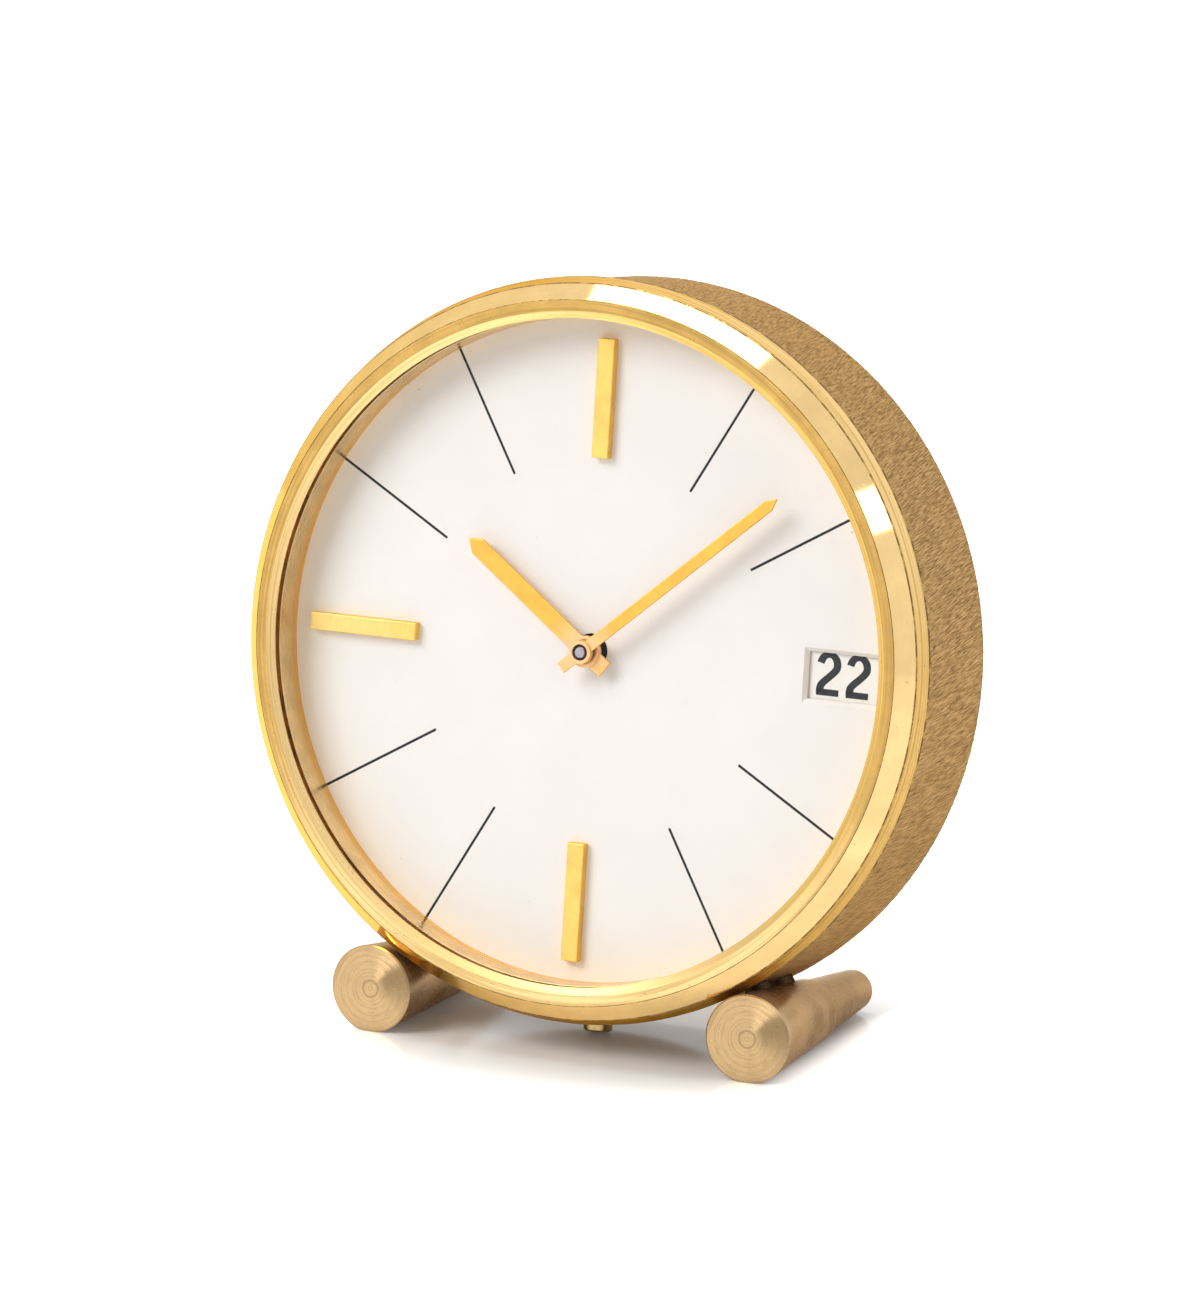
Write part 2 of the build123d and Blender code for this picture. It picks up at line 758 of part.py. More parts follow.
def make_date_ring():
    """The date ring, with one inward tooth for each day."""
    low = calendar_front + date_ring_lift
    tip = date_ring_tooth_tip
    root = tip + date_ring_tooth_height
    pitch = 2 * pi / date_count
    corners = []
    for day in range(date_count):
        for reach, share in ((root, -0.36), (tip, -0.1), (tip, 0.1), (root, 0.36)):
            corners.append((reach * cos((day + share) * pitch), reach * sin((day + share) * pitch)))
    high = low + date_ring_thickness
    return tube(date_ring_outer, 0, low, high) - plate(corners, low, high)


def date_gear(teeth, at, phase, bore):
    """One gear of the date work, close in front of the calendar plate."""
    low = calendar_front + date_gear_lift
    high = low + date_gear_thickness
    return gear(teeth, date_module, low, high, at, phase) - tube(bore, 0, low, high, at)


def make_date_wheel(phase):
    """The wheel that turns once a day, with the finger that steps the date ring."""
    low = calendar_front + date_gear_lift
    finger_low = low + date_gear_thickness
    tip = polar(date_finger_reach - date_finger_width / 2, 180 + date_train_angle, date_wheel_at)
    wheel = date_gear(date_wheel_teeth, date_wheel_at, phase, date_stud_radius + running_fit)
    finger_high = finger_low + date_finger_thickness
    finger = bar(date_wheel_at, tip, date_finger_width, finger_low, finger_high)
    finger += tube(2 * date_stud_radius, 0, finger_low, finger_high, date_wheel_at)
    finger -= tube(date_stud_radius + running_fit, 0, finger_low, finger_high, date_wheel_at)
    return wheel + finger


def make_date_studs():
    """The studs that the date wheels, the jumper and the corrector lever turn on."""
    studs = []
    for at in (date_idler_at, date_wheel_at, jumper_at):
        studs.append(tube(date_stud_radius - touch, 0, calendar_back, dial_back - tooth_gap / 2, at))
    lever_stud = tube(date_stud_radius - touch, 0, corrector_back - tooth_gap, calendar_front, corrector_at)
    return studs + [lever_stud]


def make_jumper():
    """The pawl that holds the date ring between two steps."""
    low = calendar_front + date_ring_lift
    high = low + date_ring_thickness
    beak_reach = date_ring_tooth_tip - tooth_gap
    tip = polar(beak_reach, jumper_angle + jumper_swing_angle)
    knee = polar(beak_reach - jumper_width, jumper_angle + jumper_swing_angle)
    beak_side = polar(beak_reach - jumper_width, jumper_angle + jumper_swing_angle - 3)
    pawl = bar(jumper_at, knee, jumper_width, low, high)
    pawl += plate([knee, beak_side, tip], low, high)
    pawl += tube(2 * date_stud_radius, 0, low, high, jumper_at)
    return pawl - tube(date_stud_radius + running_fit, 0, low, high, jumper_at)


def make_jumper_spring():
    """The flat spring that presses the jumper outwards, on a block fixed to the calendar plate."""
    knee = polar(date_ring_tooth_tip - tooth_gap - jumper_width, jumper_angle + jumper_swing_angle)
    heading = jumper_angle + jumper_swing_angle + 90
    inward = jumper_width / 2 + clearance + jumper_spring_width / 2
    contact = polar(inward, jumper_angle + jumper_swing_angle + 180, knee)
    root = polar(jumper_spring_length, heading + 15, contact)
    low = calendar_front + date_ring_lift
    blade = bar(contact, root, jumper_spring_width, low, low + date_ring_thickness)
    return blade + tube(2 * jumper_spring_width, 0, calendar_front, low + date_ring_thickness, root)


def make_pusher():
    """The date pusher: a polished head with a thin stem."""
    head = downward(pusher_radius, pusher_shoulder, pusher_end)
    rim = head.edges().filter_by(GeomType.CIRCLE).sort_by(Axis.Y)[0]
    head = chamfer(rim, tooth_gap)
    return head + downward(pusher_stem_radius, pusher_stem_end, pusher_shoulder)


def make_pusher_tube():
    """The tube in the drum's wall that guides the pusher and holds its spring."""
    bore = pusher_radius + running_fit
    body = downward(pusher_tube_radius, pusher_tube_inner, drum_radius)
    body -= downward(bore, pusher_tube_inner + pusher_tube_floor, drum_radius)
    body -= downward(pusher_stem_radius + running_fit, pusher_tube_inner, drum_radius)
    return body


def make_pusher_spring():
    """The coil spring around the pusher's stem."""
    coil_radius = pusher_radius - pusher_spring_wire - tooth_gap
    low = pusher_tube_inner + pusher_tube_floor + pusher_spring_wire + tooth_gap
    height = pusher_shoulder - low - pusher_spring_wire - tooth_gap
    path = Helix(height / pusher_spring_turns, height, coil_radius)
    profile = Plane(origin=path @ 0, z_dir=path % 0) * Circle(pusher_spring_wire)
    coil = sweep(profile, path=path)
    return Pos(0, -low, pusher_station) * Rot(90, 0, 0) * coil


def make_pusher_clip():
    """The clip on the stem that keeps the pusher in its tube."""
    outer_end = pusher_tube_inner - tooth_gap
    inner_end = outer_end - pusher_clip_thickness
    return downward(pusher_clip_radius, inner_end, outer_end, pusher_stem_radius + touch)


def make_corrector():
    """The lever that the pusher swings, with a bent tab behind it and a pin to the date ring."""
    low, high = corrector_back, corrector_front
    tab_at = (0.0, corrector_at[1])
    lever = bar(tab_at, corrector_at, corrector_width, low, high)
    lever += bar(corrector_at, corrector_pin_at, corrector_width, low, high)
    lever -= tube(date_stud_radius + running_fit, 0, low, high, corrector_at)
    pin_top = calendar_front + date_ring_lift + date_ring_thickness
    lever += tube(corrector_pin_radius, 0, high, pin_top, corrector_pin_at)
    tab_end = pusher_station - pusher_stem_radius - clearance
    tab = Box(corrector_width, corrector_tab_thickness, low - tab_end, align=BASE)
    return lever + Pos(0, corrector_at[1], tab_end) * tab


def make_cannon(phase):
    """The cannon pinion: a long pipe with the pinion that drives the motion work."""
    low = front_plate_front + clearance
    high = low + motion_gear_thickness + pinion_overlap
    top = minute_hand_height + hand_thickness
    bore = arbor_radius + running_fit
    pipe = gear(cannon_teeth, motion_module, low, high, centre_at, phase)
    pipe += tube(cannon_radius, 0, high, top)
    return pipe - tube(bore, 0, low, top)


def make_minute_wheel(phase, pinion_phase):
    """The minute wheel with its pinion, which gears the hour hand down."""
    low = front_plate_front + clearance + pinion_overlap / 2
    high = low + motion_gear_thickness
    top = calendar_back - clearance
    wheel = gear(minute_wheel_teeth, motion_module, low, high, minute_wheel_at, phase)
    wheel += gear(minute_pinion_teeth, hour_module, high, top, minute_wheel_at, pinion_phase)
    return wheel - tube(pivot_radius + running_fit, 0, low, top, minute_wheel_at)


def make_minute_stud():
    """The stud on the front plate that the minute wheel turns on."""
    shoulder_top = front_plate_front + clearance
    stud = tube(pivot_radius, 0, front_plate_back, calendar_back - tooth_gap / 2, minute_wheel_at)
    return stud + tube(2 * pivot_radius, 0, front_plate_front, shoulder_top, minute_wheel_at)


def make_hour_wheel(phase):
    """The hour wheel on its pipe."""
    top = hour_hand_height + hand_thickness / 2
    wheel_high = calendar_back - clearance
    wheel_low = wheel_high - motion_gear_thickness
    hub_low = front_plate_front + 2 * clearance + motion_gear_thickness + pinion_overlap
    wheel = gear(hour_wheel_teeth, hour_module, wheel_low, wheel_high, centre_at, phase)
    wheel += tube(hour_pipe_radius, 0, hub_low, top)
    return wheel - tube(cannon_radius + running_fit, 0, hub_low, top)


def make_setting_arbor(phase):
    """The setting arbor, with the pinion that turns the minute wheel."""
    low = front_plate_front + clearance
    high = low + motion_gear_thickness + pinion_overlap
    knob_end = cover_back - clearance - setting_knob_length / 2
    stem = tube(setting_arbor_radius, 0, knob_end, low, setting_at)
    return stem + gear(cannon_teeth, motion_module, low, high, setting_at, phase)


def make_setting_knob():
    """The ribbed knob that sets the hands."""
    high = cover_back - clearance
    low = high - setting_knob_length
    knob = tube(setting_knob_radius, 0, low, high, setting_at)
    rib_width = pi * setting_knob_radius / setting_knob_ribs
    groove = Box(2 * setting_knob_rib_depth, rib_width, 2 * setting_knob_length)
    for rib in range(setting_knob_ribs):
        groove_at = polar(setting_knob_radius, rib * 360 / setting_knob_ribs, setting_at)
        turn = Rot(0, 0, rib * 360 / setting_knob_ribs)
        knob -= Pos(groove_at[0], groove_at[1], (low + high) / 2) * turn * groove
    bore_end = high - setting_knob_length / 2 - touch
    return knob - tube(setting_arbor_radius + touch, 0, bore_end, high, setting_at)


def make_front_plate():
    """The movement's front plate."""
    low, high = front_plate_back, front_plate_front
    sheet = tube(plate_radius, arbor_radius + running_fit, low, high)
    for at in (intermediate_at, third_at, fourth_at, escape_at, pallet_at, balance_at, barrel_at):
        sheet -= tube(pivot_radius + running_fit, 0, low, high, at)
    sheet -= tube(setting_arbor_radius + running_fit, 0, low, high, setting_at)
    sheet -= tube(pivot_radius + touch, 0, low, high, minute_wheel_at)
    for at in pillar_places:
        sheet -= tube(pillar_spigot_radius + touch, 0, low, high, at)
    return sheet


def make_back_plate():
    """The movement's back plate, cut away under the balance cock."""
    low, high = back_plate_back, back_plate_front
    sheet = tube(plate_radius, pivot_radius + running_fit, low, high)
    for at in (intermediate_at, third_at, fourth_at, escape_at, pallet_at):
        sheet -= tube(pivot_radius + running_fit, 0, low, high, at)
    sheet -= tube(barrel_arbor_radius + running_fit, 0, low, high, barrel_at)
    sheet -= tube(setting_arbor_radius + running_fit, 0, low, high, setting_at)
    sheet -= tube(balance_radius + clearance, 0, low, high, balance_at)
    for at in pillar_places:
        sheet -= tube(plate_screw_radius + fit, 0, low, high, at)
    for at in cock_screw_places() + [click_at(), click_spring_at()]:
        sheet -= tube(cock_screw_radius + touch, 0, low, high, at)
    return sheet


def make_pillars():
    """The four pillars between the plates, each with a spigot in the front plate."""
    pillars = []
    for at in pillar_places:
        pillar = tube(pillar_radius, 0, back_plate_front, front_plate_back, at)
        pillar += tube(pillar_spigot_radius, 0, front_plate_back, front_plate_front, at)
        hole_end = back_plate_front + plate_screw_length
        pillars.append(pillar - tube(plate_screw_radius + touch, 0, back_plate_front, hole_end, at))
    return pillars


def make_posts():
    """The posts that hang the movement behind the calendar plate."""
    posts = []
    for at in post_places:
        post = tube(post_radius, 0, front_plate_front, calendar_back, at)
        hole_end = calendar_back - motion_space / 2
        posts.append(post - tube(plate_screw_radius + touch, 0, hole_end, calendar_back, at))
    return posts


def make_post_screws():
    """The screws through the calendar plate into the posts."""
    length = calendar_plate_thickness + motion_space / 2 - touch
    return [
        screw(
            at,
            calendar_front,
            post_screw_head_radius,
            post_screw_head_height,
            plate_screw_radius,
            length,
            toward=1,
        )
        for at in post_places
    ]


def make_barrel(phase):
    """The toothed mainspring barrel, open behind."""
    rim_low = barrel_front - wheel_thickness - 2 * pinion_overlap
    drum_outer = pitch_radius(barrel_teeth, barrel_module) - (tooth_dedendum + 1) * barrel_module
    barrel = gear(barrel_teeth, barrel_module, rim_low, barrel_front, barrel_at, phase)
    barrel += tube(drum_outer, drum_outer - barrel_wall, barrel_back, rim_low, barrel_at)
    barrel -= tube(barrel_arbor_radius + running_fit, 0, rim_low, barrel_front, barrel_at)
    return barrel, drum_outer, rim_low


def make_mainspring(bore, low):
    """The mainspring, wound between the arbor's hub and the barrel's wall."""
    inner = barrel_hub_radius + mainspring_play + mainspring_thickness / 2
    room = bore - mainspring_play - mainspring_thickness / 2 - mainspring_pitch - inner
    half_turns = int(2 * room / mainspring_pitch)
    floor = barrel_back + barrel_cover_thickness + mainspring_play
    top = low - mainspring_play
    return spiral_strip(
        inner, mainspring_pitch, half_turns, mainspring_thickness, floor, top, barrel_at
    )


def make_barrel_arbor(rim_low):
    """The winding arbor, from the front plate through the barrel and the cover to the key."""
    key_end = cover_back - clearance - key_hub_length / 2
    shaft = tube(barrel_arbor_radius, 0, key_end, front_plate_back - clearance / 2, barrel_at)
    hub_low = barrel_back + barrel_cover_thickness + touch
    shaft += tube(barrel_hub_radius, 0, hub_low, rim_low - touch, barrel_at)
    return shaft + tube(pivot_radius, 0, front_plate_back - clearance, front_plate_front, barrel_at)


def make_ratchet():
    """The ratchet wheel that the click holds."""
    wheel = saw_wheel(
        ratchet_teeth, ratchet_radius, ratchet_tooth_height, ratchet_back, ratchet_front, barrel_at
    )
    return wheel - tube(barrel_arbor_radius + touch, 0, ratchet_back, ratchet_front, barrel_at)


def click_at():
    """The click's pivot on the back plate."""
    return polar(ratchet_radius + click_width + clearance, click_angle, barrel_at)


def click_spring_at():
    """The fixed end of the click spring on the back plate."""
    return polar(1.6 * click_length, click_angle + 90, click_at())


def make_click():
    """The click: a pawl on its own screw, with its beak beside the ratchet's teeth."""
    beak_angle = click_angle + degrees(click_length / ratchet_radius)
    beak = polar(ratchet_radius + tooth_gap, beak_angle, barrel_at)
    outer = polar(ratchet_radius + tooth_gap + click_width, beak_angle, barrel_at)
    back = polar(ratchet_radius + click_width / 2 + clearance, click_angle, barrel_at)
    heel = polar(ratchet_radius + 1.6 * click_width + clearance, click_angle, barrel_at)
    pawl = plate([back, beak, outer, heel], ratchet_back, ratchet_front)
    pawl += tube(click_width / 2 + tooth_gap, 0, ratchet_back, ratchet_front, click_at())
    return pawl - tube(cock_screw_radius + running_fit, 0, ratchet_back, ratchet_front, click_at())


def make_click_spring():
    """The bent blade that presses the click home, on a stud in the back plate."""
    outer = polar(
        ratchet_radius + tooth_gap + click_width + clearance + click_spring_width,
        click_angle + degrees(click_length / ratchet_radius) - 6,
        barrel_at,
    )
    blade = bar(click_spring_at(), outer, click_spring_width, ratchet_back, ratchet_front)
    return blade + tube(cock_screw_radius, 0, ratchet_back, back_plate_front, click_spring_at())


def make_click_stud():
    """The stud that the click turns on."""
    head_high = ratchet_back - tooth_gap
    head_low = head_high - cock_screw_head_height / 2
    stud = tube(cock_screw_radius, 0, head_high, back_plate_front, click_at())
    return stud + tube(cock_screw_head_radius, 0, head_low, head_high, click_at())


def make_key():
    """The winding key: a hub with two rounded wings."""
    high = cover_back - clearance
    low = high - key_hub_length
    key = tube(key_hub_radius, 0, low, high, barrel_at)
    lobe = key_wing_height / 2
    outline = SlotOverall(key_wing_span, key_wing_height)
    wing = Rot(90, 0, 0) * extrude(outline, key_wing_thickness / 2, both=True)
    key += Pos(barrel_at[0], barrel_at[1], low - lobe + tooth_gap) * wing
    bore_end = high - key_hub_length / 2 - touch
    return key - tube(barrel_arbor_radius + touch, 0, bore_end, high, barrel_at)


def train_wheel(at, teeth, module, front, phase, pinion_teeth, pinion_module, pinion_span, pinion_phase):
    """A wheel and a pinion on one arbor between the plates."""
    back = front - wheel_thickness
    wheel = gear(teeth, module, back, front, at, phase) - crossings(teeth, module, back, front, at)
    pinion = gear(pinion_teeth, pinion_module, pinion_span[0], pinion_span[1], at, pinion_phase)
    low = min(back, pinion_span[0])
    high = max(front, pinion_span[1])
    core = tube(train_arbor_radius, 0, low, high, at)
    return wheel + pinion + core + arbor(at)


def make_centre_wheel(phase, pinion_phase):
    """The centre wheel, on the long arbor that carries the hands."""
    pinion_span = (intermediate_back - pinion_overlap, centre_back)
    wheel = gear(centre_teeth, centre_module, centre_back, centre_front, centre_at, phase)
    wheel -= crossings(centre_teeth, centre_module, centre_back, centre_front, centre_at)
    wheel += gear(centre_pinion_teeth, intermediate_module, *pinion_span, centre_at, pinion_phase)
    wheel += tube(arbor_radius, 0, back_plate_front + clearance / 2, arbor_tip_height)
    return wheel + tube(pivot_radius, 0, back_plate_back, back_plate_front + clearance)


def make_escape_wheel(pinion_phase):
    """The escape wheel with its pinion."""
    wheel = saw_wheel(
        escape_teeth, escape_radius, escape_tooth_height, escape_back, escape_front, escape_at
    )
    span = (fourth_back - pinion_overlap, fourth_front + pinion_overlap)
    wheel += gear(escape_pinion_teeth, fourth_module, *span, escape_at, pinion_phase)
    return wheel + arbor(escape_at, pivot_radius + touch)


def make_pallet_lever():
    """The pallet lever: two arms astride the escape wheel and a fork towards the balance."""
    low, high = escape_back, escape_front
    keep_off = escape_radius + clearance + pallet_reach * radians(pallet_swing)
    lever = tube(pallet_width, 0, low, high, pallet_at)
    for side in (-1, 1):
        stone = polar(keep_off + pallet_width / 2, escape_angle + side * 38, escape_at)
        lever += bar(pallet_at, stone, pallet_width, low, high)
    fork = polar(lever_length, escape_angle, pallet_at)
    lever += bar(pallet_at, fork, pallet_width, low, high)
    for side in (-1, 1):
        horn = polar(pallet_width, escape_angle + side * 50, fork)
        lever += bar(fork, horn, pallet_width / 2, low, high)
    return lever + arbor(pallet_at, pivot_radius + touch)


def make_balance():
    """The balance wheel on its staff, with the roller that works the lever."""
    low, high = balance_back, balance_front
    wheel = tube(balance_radius, balance_radius - balance_rim_width, low, high, balance_at)
    span = 2 * balance_radius - balance_rim_width
    arm = Rot(0, 0, escape_angle) * Box(wheel_arm_width, span, high - low)
    wheel += Pos(balance_at[0], balance_at[1], (low + high) / 2) * arm
    wheel += tube(2 * balance_staff_radius, 0, low, high, balance_at)
    staff_low = hairspring_back - tooth_gap
    wheel += tube(balance_staff_radius, 0, staff_low, front_plate_back - clearance / 2, balance_at)
    wheel += tube(pivot_radius, 0, back_plate_back - cock_thickness, front_plate_front, balance_at)
    wheel += tube(roller_radius, 0, escape_back + touch, escape_front - touch, balance_at)
    return wheel


def cock_screw_places():
    """The two screws at the foot of the balance cock."""
    inward = degrees(atan2(-balance_at[1], -balance_at[0]))
    root = polar(balance_radius + cock_width / 2 + clearance, inward, balance_at)
    return [polar(cock_width / 4, inward + side * 90, root) for side in (-1, 1)]


def make_cock():
    """The bridge that carries the rear pivot of the balance and the hairspring's stud."""
    low, high = back_plate_back - cock_thickness, back_plate_back
    inward = degrees(atan2(-balance_at[1], -balance_at[0]))
    root = polar(balance_radius + cock_width / 2 + clearance, inward, balance_at)
    cock = bar(balance_at, root, cock_width, low, high)
    cock -= tube(pivot_radius + running_fit, 0, low, high, balance_at)
    for at in cock_screw_places():
        cock -= tube(cock_screw_radius + touch, 0, low, high, at)
    return cock + tube(hairspring_stud_radius, 0, high, hairspring_front, hairspring_stud_at())


def hairspring_stud_at():
    """The stud, just outside the last turn of the hairspring."""
    side = (hairspring_half_turns - 1) % 2
    reach = hairspring_inner + (hairspring_half_turns - 1) * hairspring_pitch / 2
    end_x = reach + hairspring_pitch / 2 if side else -reach
    outward = 1 if end_x > 0 else -1
    beside = outward * (hairspring_width / 2 + hairspring_stud_radius)
    return (balance_at[0] + end_x + beside, balance_at[1])


# Phases of the gears at rest, each from the gear that drives it
barrel_phase = 0.0
intermediate_pinion_phase = meshed(
    barrel_at, barrel_phase, barrel_teeth, intermediate_at, intermediate_pinion_teeth
)
intermediate_phase = 0.0
centre_pinion_phase = meshed(
    intermediate_at, intermediate_phase, intermediate_teeth, centre_at, centre_pinion_teeth
)
centre_phase = 0.0
third_pinion_phase = meshed(centre_at, centre_phase, centre_teeth, third_at, third_pinion_teeth)
third_phase = 0.0
fourth_pinion_phase = meshed(third_at, third_phase, third_teeth, fourth_at, fourth_pinion_teeth)
fourth_phase = 0.0
escape_pinion_phase = meshed(fourth_at, fourth_phase, fourth_teeth, escape_at, escape_pinion_teeth)
cannon_phase = 0.0
minute_phase = meshed(centre_at, cannon_phase, cannon_teeth, minute_wheel_at, minute_wheel_teeth)
setting_phase = meshed(minute_wheel_at, minute_phase, minute_wheel_teeth, setting_at, cannon_teeth)
minute_pinion_phase = 0.0
hour_phase = meshed(minute_wheel_at, minute_pinion_phase, minute_pinion_teeth, centre_at, hour_wheel_teeth)
date_pinion_phase = 0.0
date_idler_phase = meshed(centre_at, date_pinion_phase, date_pinion_teeth, date_idler_at, date_idler_teeth)
date_wheel_phase = meshed(date_idler_at, date_idler_phase, date_idler_teeth, date_wheel_at, date_wheel_teeth)

barrel, barrel_outer, barrel_rim_low = make_barrel(barrel_phase)
foot_right = make_foot()

nodes = {
    "bezel_ring": make_bezel(),
    "crystal": tube(crystal_radius, 0, crystal_back, crystal_front),
    "inner_ring": tube(crystal_radius, crystal_radius - inner_ring_wall, 0, crystal_back),
    "case_drum": make_drum(),
    "rear_cover": make_rear_cover(),
    "rear_cover_screws": [
        screw(
            at,
            cover_back,
            cover_screw_head_radius,
            cover_screw_head_height,
            cover_screw_radius,
            cover_screw_length,
        )
        for at in cover_screw_places
    ],
    "foot_right": foot_right,
    "foot_left": mirror(foot_right, Plane.YZ),
    "foot_screws": make_foot_screws(),
    "dial_plate": make_dial(),
    "hour_markers": make_markers(),
    "dial_bush": tube(bush_radius, hour_pipe_radius + 2 * running_fit, dial_back, 0),
    "dial_spacer_ring": make_spacer(),
    "calendar_plate": make_calendar_plate(),
    "seat_screws": [
        screw(
            at,
            dial_back - seat_screw_head_height,
            seat_screw_head_radius,
            seat_screw_head_height,
            seat_screw_radius,
            seat_screw_length - seat_screw_head_height,
            toward=1,
        )
        for at in seat_screw_places
    ],
    "date_ring": make_date_ring(),
    "date_drive_pinion": date_gear(
        date_pinion_teeth, centre_at, date_pinion_phase, hour_pipe_radius + touch
    ),
    "date_idler_wheel": date_gear(
        date_idler_teeth, date_idler_at, date_idler_phase, date_stud_radius + running_fit
    ),
    "date_wheel": make_date_wheel(date_wheel_phase),
    "date_studs": make_date_studs(),
    "date_jumper": make_jumper(),
    "date_jumper_spring": make_jumper_spring(),
    "date_pusher": make_pusher(),
    "pusher_tube": make_pusher_tube(),
    "pusher_spring": make_pusher_spring(),
    "pusher_clip": make_pusher_clip(),
    "corrector_lever": make_corrector(),
    "hour_hand": clock_hand(
        hour_hand_angle,
        hour_hand_length,
        hour_hand_width,
        hour_hand_point,
        hour_hand_tail,
        hour_hand_height,
        hour_boss_radius,
        hour_boss_height,
        hour_pipe_radius + touch,
    ),
    "minute_hand": clock_hand(
        minute_hand_angle,
        minute_hand_length,
        minute_hand_width,
        minute_hand_point,
        minute_hand_tail,
        minute_hand_height,
        minute_boss_radius,
        minute_boss_height,
        cannon_radius + touch,
    ),
    "cannon_pinion": make_cannon(cannon_phase),
    "hour_wheel": make_hour_wheel(hour_phase),
    "minute_wheel": make_minute_wheel(minute_phase, minute_pinion_phase),
    "minute_wheel_stud": make_minute_stud(),
    "setting_arbor": make_setting_arbor(setting_phase),
    "setting_knob": make_setting_knob(),
    "front_plate": make_front_plate(),
    "back_plate": make_back_plate(),
    "plate_pillars": make_pillars(),
    "plate_screws": [
        screw(
            at,
            back_plate_back,
            plate_screw_head_radius,
            plate_screw_head_height,
            plate_screw_radius,
            plate_thickness + plate_screw_length - touch,
        )
        for at in pillar_places
    ],
    "movement_posts": make_posts(),
    "movement_post_screws": make_post_screws(),
    "mainspring_barrel": barrel,
    "barrel_cover": tube(
        barrel_outer - barrel_wall - touch,
        barrel_arbor_radius + running_fit,
        barrel_back,
        barrel_back + barrel_cover_thickness,
        barrel_at,
    ),
    "mainspring": make_mainspring(barrel_outer - barrel_wall, barrel_rim_low),
    "barrel_arbor": make_barrel_arbor(barrel_rim_low),
    "ratchet_wheel": make_ratchet(),
    "click": make_click(),
    "click_stud": make_click_stud(),
    "click_spring": make_click_spring(),
    "winding_key": make_key(),
    "intermediate_wheel": train_wheel(
        intermediate_at,
        intermediate_teeth,
        intermediate_module,
        intermediate_front,
        intermediate_phase,
        intermediate_pinion_teeth,
        barrel_module,
        (barrel_rim_low - pinion_overlap, intermediate_back),
        intermediate_pinion_phase,
    ),
    "centre_wheel": make_centre_wheel(centre_phase, centre_pinion_phase),
    "third_wheel": train_wheel(
        third_at,
        third_teeth,
        third_module,
        third_front,
        third_phase,
        third_pinion_teeth,
        centre_module,
        (centre_back - pinion_overlap, centre_front + pinion_overlap),
        third_pinion_phase,
    ),
    "fourth_wheel": train_wheel(
        fourth_at,
        fourth_teeth,
        fourth_module,
        fourth_front,
        fourth_phase,
        fourth_pinion_teeth,
        third_module,
        (third_back - pinion_overlap, third_front + pinion_overlap),
        fourth_pinion_phase,
    ),
    "escape_wheel": make_escape_wheel(escape_pinion_phase),
    "pallet_lever": make_pallet_lever(),
    "balance_wheel": make_balance(),
    "hairspring": spiral_strip(
        hairspring_inner,
        hairspring_pitch,
        hairspring_half_turns,
        hairspring_width,
        hairspring_back,
        hairspring_front,
        balance_at,
    ),
    "balance_cock": make_cock(),
    "balance_cock_screws": [
        screw(
            at,
            back_plate_back - cock_thickness,
            cock_screw_head_radius,
            cock_screw_head_height,
            cock_screw_radius,
            cock_thickness + plate_thickness,
        )
        for at in cock_screw_places()
    ],
}

# The drum leans back, the feet stand on the floor, and the origin lies under the middle of the clock
lean = Location((0, 0, -floor_level), (90 - lean_back, 0, 0))
standing = {}
for name, piece in nodes.items():
    standing[name] = lean * (Compound(piece) if isinstance(piece, list) else piece)
boxes = [piece.bounding_box() for piece in standing.values()]
middle_depth = (min(box.min.Y for box in boxes) + max(box.max.Y for box in boxes)) / 2
os.makedirs("parts", exist_ok=True)
for name, piece in standing.items():
    export_step(Pos(0, -middle_depth, 0) * piece, f"parts/{name}.step")
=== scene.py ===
import json
import math

import bmesh
import bpy
from mathutils import Euler, Matrix, Vector, noise


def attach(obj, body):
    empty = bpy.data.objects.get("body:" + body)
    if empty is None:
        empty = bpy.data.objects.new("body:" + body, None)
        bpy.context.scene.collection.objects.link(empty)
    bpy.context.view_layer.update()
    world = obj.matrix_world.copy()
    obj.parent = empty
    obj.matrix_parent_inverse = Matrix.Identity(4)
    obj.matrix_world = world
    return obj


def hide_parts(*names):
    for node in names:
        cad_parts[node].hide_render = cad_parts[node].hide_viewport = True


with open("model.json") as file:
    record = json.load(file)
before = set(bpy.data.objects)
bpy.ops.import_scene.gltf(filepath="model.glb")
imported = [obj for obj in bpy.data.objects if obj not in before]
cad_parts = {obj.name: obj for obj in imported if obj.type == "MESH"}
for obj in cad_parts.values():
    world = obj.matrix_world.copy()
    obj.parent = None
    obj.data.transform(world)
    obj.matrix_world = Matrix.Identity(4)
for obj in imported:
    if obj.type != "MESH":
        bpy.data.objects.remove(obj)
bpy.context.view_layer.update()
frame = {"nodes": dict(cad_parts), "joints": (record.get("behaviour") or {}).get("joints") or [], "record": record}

bl_info = {
    "name": "Desk Clock",
    "version": (1, 0, 0),
    "blender": (4, 5, 0),
    "location": "3D View > Sidebar > Desk Clock",
    "description": "Dresses a leaning brass desk clock with a date window",
    "category": "Object",
}

MM = 0.001
# Points of a mesh that are closer together than this become one
TOUCH = 0.0005 * MM

# The drum's own frame: X to the right and Y up on the dial, Z out of it, zero on the dial's face
HAND_JOINT = next(joint for joint in frame["joints"] if joint["name"] == "minute_hand_turn")
CENTRE = Vector(HAND_JOINT["pos_m"])
OUTWARD = -Vector(HAND_JOINT["axis"]).normalized()
ACROSS = Vector((1.0, 0.0, 0.0))
UPWARD = OUTWARD.cross(ACROSS)
DRUM = Matrix.Translation(CENTRE) @ Matrix((ACROSS, UPWARD, OUTWARD)).transposed().to_4x4()
LEAN = math.atan2(OUTWARD.z, -OUTWARD.y)
CAMERA_AIM = CENTRE + Vector((1.201, 0.676, 0.337)) * MM


